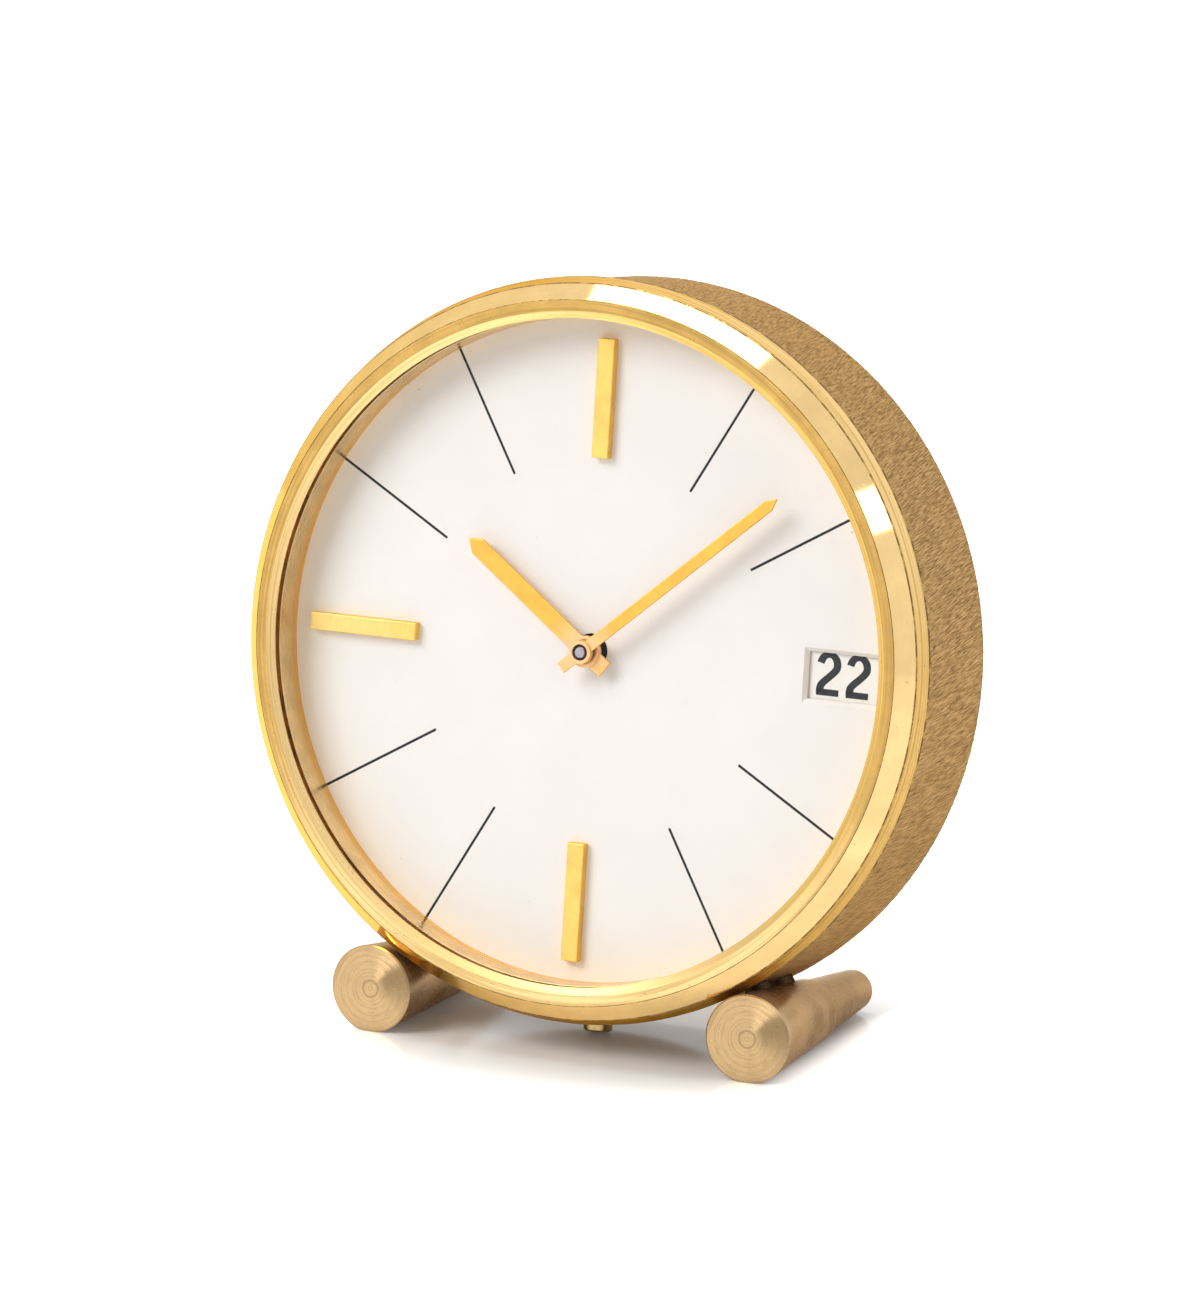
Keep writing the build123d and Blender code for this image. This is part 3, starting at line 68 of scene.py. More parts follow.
def span(node):
    """The lowest and highest corner of a CAD node in the drum's frame."""
    to_drum = DRUM.inverted()
    points = [to_drum @ vertex.co for vertex in frame["nodes"][node].data.vertices]
    low = Vector([min(point[axis] for point in points) for axis in range(3)])
    high = Vector([max(point[axis] for point in points) for axis in range(3)])
    return low, high


def radius_of(node):
    """The outer radius of a CAD node that is round about the dial's axis."""
    low, high = span(node)
    return (high.x - low.x) / 2


# Properties


def length(label, text, metres):
    """A property for a length in metres."""
    return bpy.props.FloatProperty(
        name=label, description=text, default=metres, precision=5, unit="LENGTH", subtype="DISTANCE"
    )


def angle(label, text, degrees):
    """A property for an angle given in degrees."""
    return bpy.props.FloatProperty(
        name=label, description=text, default=math.radians(degrees), unit="ROTATION", subtype="ANGLE"
    )


def number(label, text, value):
    """A property for a plain number."""
    return bpy.props.FloatProperty(name=label, description=text, default=value, precision=4)


def count(label, text, value):
    """A property for a count."""
    return bpy.props.IntProperty(name=label, description=text, default=value, min=1)


def colour(label, text, value):
    """A property for a linear colour."""
    return bpy.props.FloatVectorProperty(
        name=label, description=text, default=value, size=3, min=0.0, max=1.0, subtype="COLOR"
    )


class ClockCase(bpy.types.PropertyGroup):
    """Sizes of the bezel, the crystal, the inner ring and the drum."""

    bezel_radius: length("Bezel radius", "Outer radius of the bezel", radius_of("bezel_ring"))
    land_height: length("Land height", "Height of the bezel over the dial", span("bezel_ring")[1].z)
    band_width: length("Band width", "Width of the satin band round the bezel", 3.1 * MM)
    band_taper: length("Band taper", "How far the band draws in to the front", 1.0 * MM)
    bevel_reach: length("Bevel reach", "Radial width of the polished bevel", 2.7 * MM)
    bevel_drop: length("Bevel drop", "Depth of the polished bevel", 3.2 * MM)
    land_width: length("Land width", "Radial width of the flat land", 1.9 * MM)
    lip_reach: length("Lip reach", "Radial width of the bevel down to the crystal", 1.25 * MM)
    lip_drop: length("Lip drop", "Depth of the bevel down to the crystal", 0.8 * MM)
    lip_edge: length("Lip edge", "Height of the lip over the crystal", 0.25 * MM)
    skirt_radius: length("Skirt radius", "Radius of the bezel's skirt inside the drum", 60.5 * MM)
    groove_width: length("Groove width", "Width of the fine groove between land and bevel", 0.12 * MM)
    groove_depth: length("Groove depth", "Depth of the fine groove between land and bevel", 0.1 * MM)
    seam_width: length("Seam width", "Width of the dark seam between bevel and band", 0.24 * MM)
    rim_width: length("Rim width", "Width of the dark rear rim of the band", 0.42 * MM)
    edge_round: length("Edge round", "Rounding of the bezel's edges", 0.05 * MM)
    crystal_radius: length("Crystal radius", "Radius of the crystal", radius_of("crystal"))
    crystal_gap: length("Crystal gap", "Gap between the crystal and the bezel", 0.05 * MM)
    crystal_round: length("Crystal round", "Rounding of the crystal's edges", 0.1 * MM)
    ring_wall: length("Inner ring wall", "Wall of the ring round the dial", 1.25 * MM)
    ring_round: length("Inner ring round", "Rounding of the inner ring's edges", 0.08 * MM)
    drum_radius: length("Drum radius", "Outer radius of the drum", radius_of("case_drum"))
    drum_wall: length("Drum wall", "Wall of the drum", 1.3 * MM)
    drum_edge: length("Drum edge", "Chamfer at the rear of the drum", 0.6 * MM)
    stroke_depth: length("Stroke depth", "Relief of the brushed strokes on the drum", 0.1 * MM)
    stroke_width: length("Stroke width", "Width of the brushed strokes on the drum", 0.38 * MM)
    stroke_length: length("Stroke length", "Length of the brushed strokes on the drum", 5.0 * MM)
    stroke_slant: angle("Stroke slant", "Slant of the strokes against the drum's axis", 12.0)
    round_steps: count("Round steps", "Facets round the case", 256)
    drum_steps: count("Drum steps", "Facets round the drum's brushed wall", 1440)
    drum_rows: count("Drum rows", "Facets along the drum's brushed wall", 48)


class ClockDial(bpy.types.PropertyGroup):
    """Sizes of the dial, its markers, its lines and the date."""

    dial_radius: length("Dial radius", "Radius of the dial plate", radius_of("dial_plate"))
    dial_thickness: length("Dial thickness", "Thickness of the dial plate", 0.8 * MM)
    bush_radius: length("Bush radius", "Radius of the dark bush in the dial", radius_of("dial_bush"))
    bush_bore: length("Bush bore", "Bore of the dark bush", 2.08 * MM)
    bush_round: length("Bush round", "Rounding of the bush's edges", 0.05 * MM)
    bush_steps: count("Bush steps", "Facets round the bush", 64)
    window_centre: length("Window place", "Distance of the date window from the centre", 45.7 * MM)
    window_length: length("Window length", "Radial length of the date window", 12.6 * MM)
    window_height: length("Window height", "Height of the date window", 7.9 * MM)
    window_chamfer: length("Window chamfer", "Sloping edge of the date window", 0.65 * MM)
    marker_inner: length("Marker start", "Inner end of the raised markers", 32.3 * MM)
    marker_length: length("Marker length", "Length of the raised markers", 19.9 * MM)
    marker_width: length("Marker width", "Width of the raised markers", 3.0 * MM)
    marker_height: length("Marker height", "Height of the raised markers", 1.7 * MM)
    marker_bevel: length("Marker bevel", "Bevel of the raised markers", 0.12 * MM)
    marker_round: length("Marker round", "Rounding of the raised markers' edges", 0.05 * MM)
    line_inner: length("Line start", "Inner end of the hour lines", 32.45 * MM)
    line_outer: length("Line end", "Outer end of the hour lines", 55.58 * MM)
    line_width: length("Line width", "Width of the hour lines", 0.44 * MM)
    ink_height: length("Ink height", "Thickness of printed ink", 0.012 * MM)
    date_middle: length("Date middle", "Distance of the day numbers from the centre", 45.5 * MM)
    digit_height: length("Digit height", "Height of a day number", 7.45 * MM)
    digit_width: length("Digit width", "Width of one digit", 4.4 * MM)
    digit_gap: length("Digit gap", "Gap between two digits", 0.95 * MM)
    digit_rise: length("Digit rise", "How far the day numbers stand above the window's middle", 0.5 * MM)
    digit_stroke: length("Digit stroke", "Width of the level strokes of a digit", 1.1 * MM)
    digit_spread: number("Digit spread", "How much wider the upright strokes of a digit are", 1.22)
    day_at_rest: count("Day at rest", "Day that stands in the window at rest", 22)
    day_count: count("Days", "Numbers on the date ring", 31)


class ClockHands(bpy.types.PropertyGroup):
    """Sizes of the hands and of the arbor in their centre."""

    thickness: length("Hand thickness", "Thickness of the hands", 0.45 * MM)
    edge_bevel: length("Hand bevel", "Bevel along the hands", 0.1 * MM)
    edge_round: length("Hand round", "Rounding of the hands' edges", 0.06 * MM)
    hour_angle: angle("Hour hand at rest", "Clockwise angle of the hour hand from twelve", 306.5)
    hour_length: length("Hour hand length", "Length of the hour hand", 28.4 * MM)
    hour_width: length("Hour hand width", "Width of the hour hand", 3.15 * MM)
    hour_point: length("Hour hand point", "Length of the hour hand's point", 2.1 * MM)
    hour_height: length("Hour hand height", "Height of the hour hand over the dial", 2.15 * MM)
    hour_boss: length("Hour boss", "Radius of the hour hand's boss", 2.65 * MM)
    hour_boss_height: length("Hour boss height", "Height of the hour hand's boss", 1.2 * MM)
    hour_bore: length("Hour bore", "Bore of the hour hand", 2.02 * MM)
    minute_angle: angle("Minute hand at rest", "Clockwise angle of the minute hand from twelve", 49.7)
    minute_length: length("Minute hand length", "Length of the minute hand", 44.55 * MM)
    minute_width: length("Minute hand width", "Width of the minute hand", 2.0 * MM)
    minute_point: length("Minute hand point", "Length of the minute hand's point", 2.0 * MM)
    minute_height: length("Minute hand height", "Height of the minute hand over the dial", 3.95 * MM)
    minute_boss: length("Minute boss", "Radius of the minute hand's boss", 1.95 * MM)
    minute_boss_height: length("Minute boss height", "Height of the minute hand's boss", 1.1 * MM)
    minute_bore: length("Minute bore", "Bore of the minute hand", 1.37 * MM)
    tail: length("Hand tail", "Length of the tails behind the centre", 4.6 * MM)
    boss_steps: count("Boss steps", "Facets round a boss", 64)


class ClockFeet(bpy.types.PropertyGroup):
    """Sizes of the feet and of the date pusher under the drum."""

    front_radius: length("Foot radius", "Radius of a foot at its front", 7.5 * MM)
    foot_length: length("Foot length", "Length of a foot", 47.4 * MM)
    spread: angle("Foot spread", "Angle of a foot from the bottom of the drum", 30.0)
    ahead: length("Foot lead", "How far a foot stands ahead of the dial", 5.0 * MM)
    bezel_gap: length("Bezel gap", "Gap between a foot and the bezel", 0.12 * MM)
    groove_at: length("Groove place", "Distance of the groove from the front", 26.0 * MM)
    groove_width: length("Foot groove width", "Width of the groove", 0.5 * MM)
    groove_depth: length("Foot groove depth", "Depth of the groove", 0.2 * MM)
    rear_step: length("Rear step", "How much slimmer a foot is behind its groove", 0.4 * MM)
    rear_round: length("Rear round", "Rounding at the rear of a foot", 1.0 * MM)
    front_chamfer: length("Front chamfer", "Chamfer at the front of a foot", 0.25 * MM)
    pad_radius: length("Pad radius", "Radius of the pads between a foot and the drum", 2.3 * MM)
    pad_first: length("First pad", "Place of the front pads along the drum", -7.0 * MM)
    pad_second: length("Second pad", "Place of the rear pads along the drum", -16.0 * MM)
    pusher_radius: length("Pusher radius", "Radius of the date pusher", 2.45 * MM)
    pusher_head: length("Pusher head", "Length of the date pusher's head", 6.6 * MM)
    pusher_stem: length("Pusher stem", "Radius of the date pusher's stem", 0.9 * MM)
    pusher_chamfer: length("Pusher chamfer", "Chamfer at the end of the date pusher", 0.25 * MM)
    edge_round: length("Foot round", "Rounding of the edges of the feet and the date pusher", 0.08 * MM)
    foot_steps: count("Foot steps", "Facets round a foot", 160)
    round_steps: count("Rear round steps", "Facets of the rounding at the rear of a foot", 4)
    pad_steps: count("Pad steps", "Facets round a pad", 48)
    pusher_steps: count("Pusher steps", "Facets round the date pusher", 64)


class ClockBack(bpy.types.PropertyGroup):
    """Sizes of the winding key and the setting knob on the back."""

    wing_thickness: length("Wing thickness", "Thickness of the key's wings", 2.0 * MM)
    wing_height: length("Wing height", "Height of the key's wings along its axis", 9.0 * MM)
    wing_round: length("Wing round", "Rounding of the key's edges", 0.45 * MM)
    wing_steps: count("Wing steps", "Facets round the end of a wing", 12)
    hub_radius: length("Hub radius", "Radius of the key's hub", 3.2 * MM)
    hub_start: number("Hub start", "Where the hub starts, as a share of the wings' height", 0.7)
    hub_cone: number("Hub cone", "Share of the hub that is tapered", 0.35)
    hub_tip: number("Hub tip", "Radius of the hub's tip, as a share of the hub's radius", 0.8)
    hub_steps: count("Hub steps", "Facets round the hub", 64)
    knob_radius: length("Knob radius", "Radius of the setting knob", 4.0 * MM)
    knob_ribs: count("Knob ribs", "Ribs round the setting knob", 24)
    rib_depth: length("Rib depth", "Depth between the ribs", 0.3 * MM)
    knob_round: length("Knob round", "Rounding of the knob's rim", 0.45 * MM)
    hollow_radius: length("Hollow radius", "Radius of the hollow in the knob's end", 1.9 * MM)
    hollow_depth: length("Hollow depth", "Depth of the hollow in the knob's end", 0.35 * MM)


class ClockFinishes(bpy.types.PropertyGroup):
    """Colours of the finishes."""

    polished: colour("Polished brass", "Polished bevels", (0.90, 0.64, 0.285))
    satin: colour("Satin brass", "Band and land of the bezel", (0.72, 0.445, 0.13))
    # Painted shade: the deeper tone of the lip on its side away from the key lamp
    lip: colour("Lip brass", "Lip over the crystal", (0.84, 0.57, 0.16))
    # Dark brass of the grooves, the seam and the band's rear rim, where it is partly painted shade
    groove: colour("Groove", "Tarnish in the grooves of the bezel", (0.19, 0.105, 0.034))
    # Painted shade: the pads get a dark brass standing in for the shade where a foot meets the drum
    pad: colour("Pads", "Dark pads between the feet and the drum", (0.09, 0.058, 0.03))
    inner: colour("Inner ring", "Ring between the dial and the crystal", (0.90, 0.66, 0.31))
    drum: colour("Drum brass", "Brushed wall of the drum", (0.48, 0.31, 0.143))
    drum_bright: colour("Drum strokes", "Bright strokes on the drum", (0.74, 0.53, 0.295))
    drum_dark: colour("Drum flecks", "Dark flecks between the strokes", (0.09, 0.055, 0.026))
    cover: colour("Cover brass", "Rear cover", (0.58, 0.40, 0.19))
    foot: colour("Foot brass", "Turned ends of the feet", (0.57, 0.39, 0.197))
    foot_side: colour("Foot side", "Dull sides of the feet", (0.56, 0.42, 0.295))
    foot_rear: colour("Foot rear", "Sides of the feet behind the groove", (0.44, 0.32, 0.235))
    gilt: colour("Gilt", "Hands", (0.87, 0.50, 0.085))
    worn_gilt: colour("Worn gilt", "Paler gilt near the middle of the hands", (0.89, 0.60, 0.33))
    # Painted highlight: the paler gilt painted on the marker at nine
    pale_gilt: colour("Pale gilt", "Gilt of the marker at nine", (0.93, 0.72, 0.27))
    marker: colour("Marker gilt", "Raised markers", (0.93, 0.61, 0.155))
    movement: colour("Movement brass", "Plates and wheels", (0.72, 0.55, 0.25))
    enamel: colour("Dial", "Matt lacquer of the dial", (0.915, 0.88, 0.85))
    # A warmer tint of the dial near its rim at the lower left
    enamel_aged: colour("Dial age", "Tint of the lacquer near its rim", (0.92, 0.80, 0.66))
    ink: colour("Ink", "Hour lines", (0.012, 0.012, 0.013))
    date_ink: colour("Date ink", "Day numbers", (0.026, 0.028, 0.034))
    paper: colour("Date ring", "Lacquer of the date ring", (0.93, 0.905, 0.86))
    steel: colour("Steel", "Bright steel", (0.58, 0.57, 0.60))
    arbor: colour("Arbor steel", "End of the arbor in the hands' centre", (0.43, 0.38, 0.46))
    blued: colour("Blued steel", "Springs", (0.10, 0.13, 0.24))
    blackened: colour("Blackened steel", "Bush and dark screws", (0.025, 0.024, 0.024))
    tarnish: colour("Tarnish", "Stains on the brass", (0.17, 0.10, 0.035))


class ClockStage(bpy.types.PropertyGroup):
    """The camera, the lamps and the floor."""

    distance: length("Camera distance", "Distance of the camera from its aim", 1333.34 * MM)
    azimuth: angle("Camera azimuth", "Turn of the camera to the right of the front", 26.032)
    elevation: angle("Camera elevation", "Height of the camera over the horizon", 13.323)
    lens: number("Lens", "Focal length in millimetres", 222.05)
    floor_size: length("Floor size", "Side of the floor", 8.0)
    floor_colour: colour("Floor", "Pale floor", (0.82, 0.81, 0.80))
    top_power: number("Top lamp", "Power of the lamp overhead in watts", 5.5)
    key_power: number("Key lamp", "Power of the lamp at the upper left in watts", 21.0)
    side_power: number("Side lamp", "Power of the narrow lamp at the right in watts", 1.2)
    fill: number("Fill", "Strength of the light from all round", 0.46)


GROUPS = {
    "clock_case": ClockCase,
    "clock_dial": ClockDial,
    "clock_hands": ClockHands,
    "clock_feet": ClockFeet,
    "clock_back": ClockBack,
    "clock_finishes": ClockFinishes,
    "clock_stage": ClockStage,
}


# Materials, with patterns laid out in millimetres in the drum's frame or in a foot's own


class Socket:
    """An output socket of a finish, on which Python's operators add Math nodes."""

    def __init__(self, finish, link):
        self.finish = finish
        self.link = link

    def math(self, operation, *values):
        """A Math node with this socket or others as its inputs."""
        return self.finish.node("ShaderNodeMath", {"operation": operation}, dict(enumerate(values)))

    def __add__(self, other):
        return self.math("ADD", self, other)

    def __radd__(self, other):
        return self.math("ADD", other, self)

    def __sub__(self, other):
        return self.math("SUBTRACT", self, other)

    def __rsub__(self, other):
        return self.math("SUBTRACT", other, self)

    def __mul__(self, other):
        return self.math("MULTIPLY", self, other)

    def __rmul__(self, other):
        return self.math("MULTIPLY", other, self)

    def __truediv__(self, other):
        return self.math("DIVIDE", self, other)

    def __rtruediv__(self, other):
        return self.math("DIVIDE", other, self)


class Finish:
    """A material, or the world, under construction."""

    def __init__(self, name, owner=None):
        self.material = owner or bpy.data.materials.new(name)
        self.material.use_nodes = True
        self.tree = self.material.node_tree
        self.tree.nodes.clear()

    def node(self, kind, settings=None, inputs=None, output=0):
        """Adds a node, sets it up, feeds its sockets and returns one of its outputs."""
        made = self.tree.nodes.new(kind)
        for name, value in (settings or {}).items():
            setattr(made, name, value)
        for name, value in (inputs or {}).items():
            if isinstance(value, Socket):
                self.tree.links.new(value.link, made.inputs[name])
            else:
                made.inputs[name].default_value = value
        return Socket(self, made.outputs[output]) if made.outputs else None

    def place(self, matrix=DRUM):
        """Object coordinates in millimetres in the frame of a matrix."""
        coordinates = self.node("ShaderNodeTexCoord", output="Object")
        return self.node(
            "ShaderNodeMapping",
            {"vector_type": "TEXTURE"},
            {
                "Vector": coordinates,
                "Location": matrix.translation,
                "Rotation": matrix.to_euler(),
                "Scale": (MM, MM, MM),
            },
        )

    def stretched(self, vector, scale):
        """A vector with its three parts scaled."""
        return self.node("ShaderNodeVectorMath", {"operation": "MULTIPLY"}, {0: vector, 1: scale})

    def noise(self, vector, scale=1.0, detail=3.0, roughness=0.6):
        """Fine noise from nought to one."""
        return self.node(
            "ShaderNodeTexNoise",
            {},
            {"Vector": vector, "Scale": scale, "Detail": detail, "Roughness": roughness},
        )

    def parts(self, vector):
        """The three parts of a vector."""
        split = self.node("ShaderNodeSeparateXYZ", {}, {0: vector}).link.node
        return [Socket(self, output) for output in split.outputs]

    def joined(self, x, y, z):
        """A vector from its three parts."""
        return self.node("ShaderNodeCombineXYZ", {}, {0: x, 1: y, 2: z})

    def reach(self, vector):
        """The length of a vector's first two parts."""
        x, y = self.parts(vector)[:2]
        flat = self.joined(x, y, 0.0)
        return self.node("ShaderNodeVectorMath", {"operation": "LENGTH"}, {0: flat}, output="Value")

    def rays(self):
        """Whether a ray comes straight from the camera or through glass, and whether it is mirrored."""
        path = self.node("ShaderNodeLightPath").link.node
        seen = Socket(self, path.outputs["Is Camera Ray"])
        passed = Socket(self, path.outputs["Is Transmission Ray"])
        return seen.math("MAXIMUM", seen, passed), Socket(self, path.outputs["Is Glossy Ray"])

    def step(self, value, low, high, start=0.0, end=1.0):
        """A smooth step from one value to another while the input goes from low to high."""
        return self.node(
            "ShaderNodeMapRange",
            {"interpolation_type": "SMOOTHSTEP"},
            {"Value": value, "From Min": low, "From Max": high, "To Min": start, "To Max": end},
        )

    def mix(self, share, first, second):
        """A mix of two colours."""
        mixer = self.node("ShaderNodeMix", {"data_type": "RGBA"}, {0: share}).link.node
        for name, value in (("A", first), ("B", second)):
            socket = next(entry for entry in mixer.inputs if entry.name == name and entry.type == "RGBA")
            if isinstance(value, Socket):
                self.tree.links.new(value.link, socket)
            else:
                socket.default_value = (*value, 1.0)
        return Socket(self, next(entry for entry in mixer.outputs if entry.type == "RGBA"))

    def clouded(self, base, value, low, high, dark, light):
        """A colour that goes from a darker to a lighter shade while a pattern goes from low to high."""
        return self.mix(self.step(value, low, high), shaded(base, dark), shaded(base, light))

    def bump(self, height, strength, distance=0.03 * MM):
        """A normal from a height."""
        return self.node(
            "ShaderNodeBump", {}, {"Height": height, "Strength": strength, "Distance": distance}
        )

    def surface(self, **sockets):
        """Ends the finish in a Principled shader."""
        inputs = {name.replace("_", " "): value for name, value in sockets.items()}
        for name, value in inputs.items():
            if isinstance(value, tuple):
                inputs[name] = (*value, 1.0)
        shader = self.node("ShaderNodeBsdfPrincipled", {}, inputs)
        self.node("ShaderNodeOutputMaterial", {}, {"Surface": shader})
        return self.material


def finishes():
    """The colours chosen for the finishes."""
    return bpy.context.scene.clock_finishes


def shaded(base, factor):
    """A colour made darker or lighter."""
    return tuple(min(1.0, part * factor) for part in base)


def ring_lines(finish, place, fineness):
    """Fine turning lines round the axis of a frame, from nought to one."""
    x, y, z = finish.parts(place)
    heading = y.math("ARCTAN2", y, x)
    around = heading.math("SINE", heading)
    along = heading.math("COSINE", heading)
    wound = finish.joined(finish.reach(place) * fineness + along, z * fineness + around, along * 2.0)
    return finish.noise(wound)


def brass(name, base, roughness, lines, wear=0.25, pits=0.2, grain=9.0, rubbed=False):
    """Brass with turning lines, wear and dark pits, and where asked a painted reflection that makes the bezel's
    low front and its band paler.
    """
    finish = Finish(name)
    place = finish.place()
    cloud = finish.noise(place, 0.16)
    fine = finish.noise(place, 2.2, detail=4.0, roughness=0.65)
    speck = finish.step(finish.noise(place, 1.1, roughness=0.75), 0.64, 0.72)
    turning = ring_lines(finish, place, grain)
    tone = finish.clouded(base, cloud, 0.35, 0.7, 1.0 - wear, 1.04)
    # Painted reflection: the land's low front, and the band more so towards the top, are painted paler as if
    # mirroring the bright floor and lamps
    if rubbed:
        case = bpy.context.scene.clock_case
        land = case.land_height / MM
        band_front = land - case.bevel_drop / MM
        y, z = finish.parts(place)[1:]
        painted_low_front = finish.step(y, -12.0, -48.0) * finish.step(z, land - 0.4, land - 0.15)
        band = finish.step(z, band_front + 0.3, band_front - 0.2) * finish.step(y, 0.0, 30.0, 0.28, 0.95)
        tone = finish.mix(painted_low_front + band, tone, shaded(finishes().polished, 1.08))
    tone = finish.mix(finish.step(turning, 0.46, 0.6) * lines, tone, shaded(base, 0.5))
    tone = finish.mix(speck * pits, tone, finishes().tarnish)
    rough = roughness + (fine - 0.5) * roughness * 0.7 + speck * 0.25 + turning * lines * 0.12
    height = turning * lines + fine * 0.15 - speck * 0.4
    return finish.surface(
        Base_Color=tone,
        Metallic=1.0,
        Roughness=rough,
        Specular_Tint=shaded(base, 1.15),
        Normal=finish.bump(height, 0.02 + 0.3 * lines),
    )


def groove_brass():
    """Tarnish in the grooves, broken by bright spots. On the band's rear rim the same dark brass is partly dirt
    and partly painted shade where the band meets the drum; it also lines the seam between bevel and band.
    """
    finish = Finish("groove_brass")
    place = finish.place()
    patches = finish.noise(place, 0.5, detail=4.0, roughness=0.7)
    bright = shaded(finishes().satin, 0.75)
    tone = finish.mix(finish.step(patches, 0.42, 0.62), finishes().groove, bright)
    return finish.surface(
        Base_Color=tone,
        Metallic=finish.step(patches, 0.3, 0.7, 0.5, 1.0),
        Roughness=finish.step(patches, 0.3, 0.7, 0.55, 0.35),
    )


def lip_brass():
    """Bright lip over the crystal, with painted shade: deeper in tone on the side away from the key lamp, and
    darker at the low left.
    """
    finish = Finish("lip_brass")
    place = finish.place()
    x, y = finish.parts(place)[:2]
    fine = finish.noise(place, 1.2, detail=4.0, roughness=0.65)
    # Painted shade: the lip goes from the polished tone to the deeper lip tone on the side away from the key lamp
    tone = finish.mix(finish.step(x, -35.0, 30.0), finishes().polished, finishes().lip)
    # Painted shade: the lip's low left is darkened, standing in for a dimmer reflection there
    painted_shade_low_left = finish.step(y, -25.0, -50.0) * finish.step(x, -38.0, -10.0)
    tone = finish.mix(painted_shade_low_left, tone, shaded(finishes().polished, 0.66))
    tone = finish.mix(finish.step(fine, 0.6, 0.75) * 0.4, tone, finishes().tarnish)
    lines = ring_lines(finish, place, 2.4)
    tone = finish.mix(finish.step(lines, 0.46, 0.62) * 0.4, tone, shaded(finishes().satin, 0.7))
    return finish.surface(
        Base_Color=tone,
        Metallic=1.0,
        Roughness=finish.step(lines, 0.3, 0.7, 0.26, 0.4),
        Normal=finish.bump(lines, 0.15),
    )


def inner_brass():
    """Bright brass of the ring round the dial, warmer where it meets the dial."""
    finish = Finish("inner_brass")
    base = finishes().inner
    place = finish.place()
    height = finish.parts(place)[2]
    lines = ring_lines(finish, place, 2.0)
    cloud = finish.noise(place, 0.2)
    tone = finish.clouded(base, cloud, 0.3, 0.7, 0.85, 1.05)
    tone = finish.mix(finish.step(lines, 0.45, 0.7) * 0.3, tone, shaded(base, 0.7))
    tone = finish.mix(finish.step(height, 2.6, 1.4) * 0.7, tone, finishes().gilt)
    return finish.surface(
        Base_Color=tone,
        Metallic=1.0,
        Roughness=finish.step(lines, 0.3, 0.7, 0.24, 0.36),
        Normal=finish.bump(lines, 0.15),
    )


def drum_brass():
    """Brass brushed in dense short strokes, slanted against the drum's axis."""
    case = bpy.context.scene.clock_case
    finish = Finish("drum_brass")
    place = finish.place()
    twist = math.tan(case.stroke_slant) / (case.drum_radius / MM)
    height = finish.parts(place)[2]
    turned = finish.node(
        "ShaderNodeVectorRotate",
        {"rotation_type": "Z_AXIS"},
        {"Vector": place, "Angle": height * twist},
    )
    strokes = finish.noise(finish.stretched(turned, (3.4, 3.4, 0.26)), detail=1.0, roughness=0.5)
    hairs = finish.noise(finish.stretched(turned, (9.0, 9.0, 0.4)), detail=1.0, roughness=0.5)
    flecks = finish.step(finish.noise(finish.stretched(turned, (3.0, 3.0, 0.6)), detail=1.0), 0.71, 0.77)
    cloud = finish.noise(place, 0.07)
    relief = finish.node("ShaderNodeAttribute", {"attribute_name": "stroke"}, output="Fac")
    mark = strokes * 0.14 + hairs * 0.74 + relief * 0.12
    base = finishes().drum
    tone = finish.clouded(base, cloud, 0.3, 0.75, 0.94, 1.08)
    tone = finish.mix(finish.step(mark, 0.50, 0.59) * 0.8, tone, finishes().drum_bright)
    tone = finish.mix(finish.step(mark, 0.49, 0.40) * 0.85, tone, shaded(base, 0.48))
    tone = finish.mix(flecks * 0.85, tone, finishes().drum_dark)
    return finish.surface(
        Base_Color=tone,
        Metallic=finish.step(mark, 0.38, 0.6, 0.75, 1.0),
        Roughness=finish.step(mark, 0.35, 0.65, 0.6, 0.42),
        Specular_Tint=shaded(base, 1.4),
        Normal=finish.bump(mark - flecks * 0.3, 0.55, 0.12 * MM),
    )


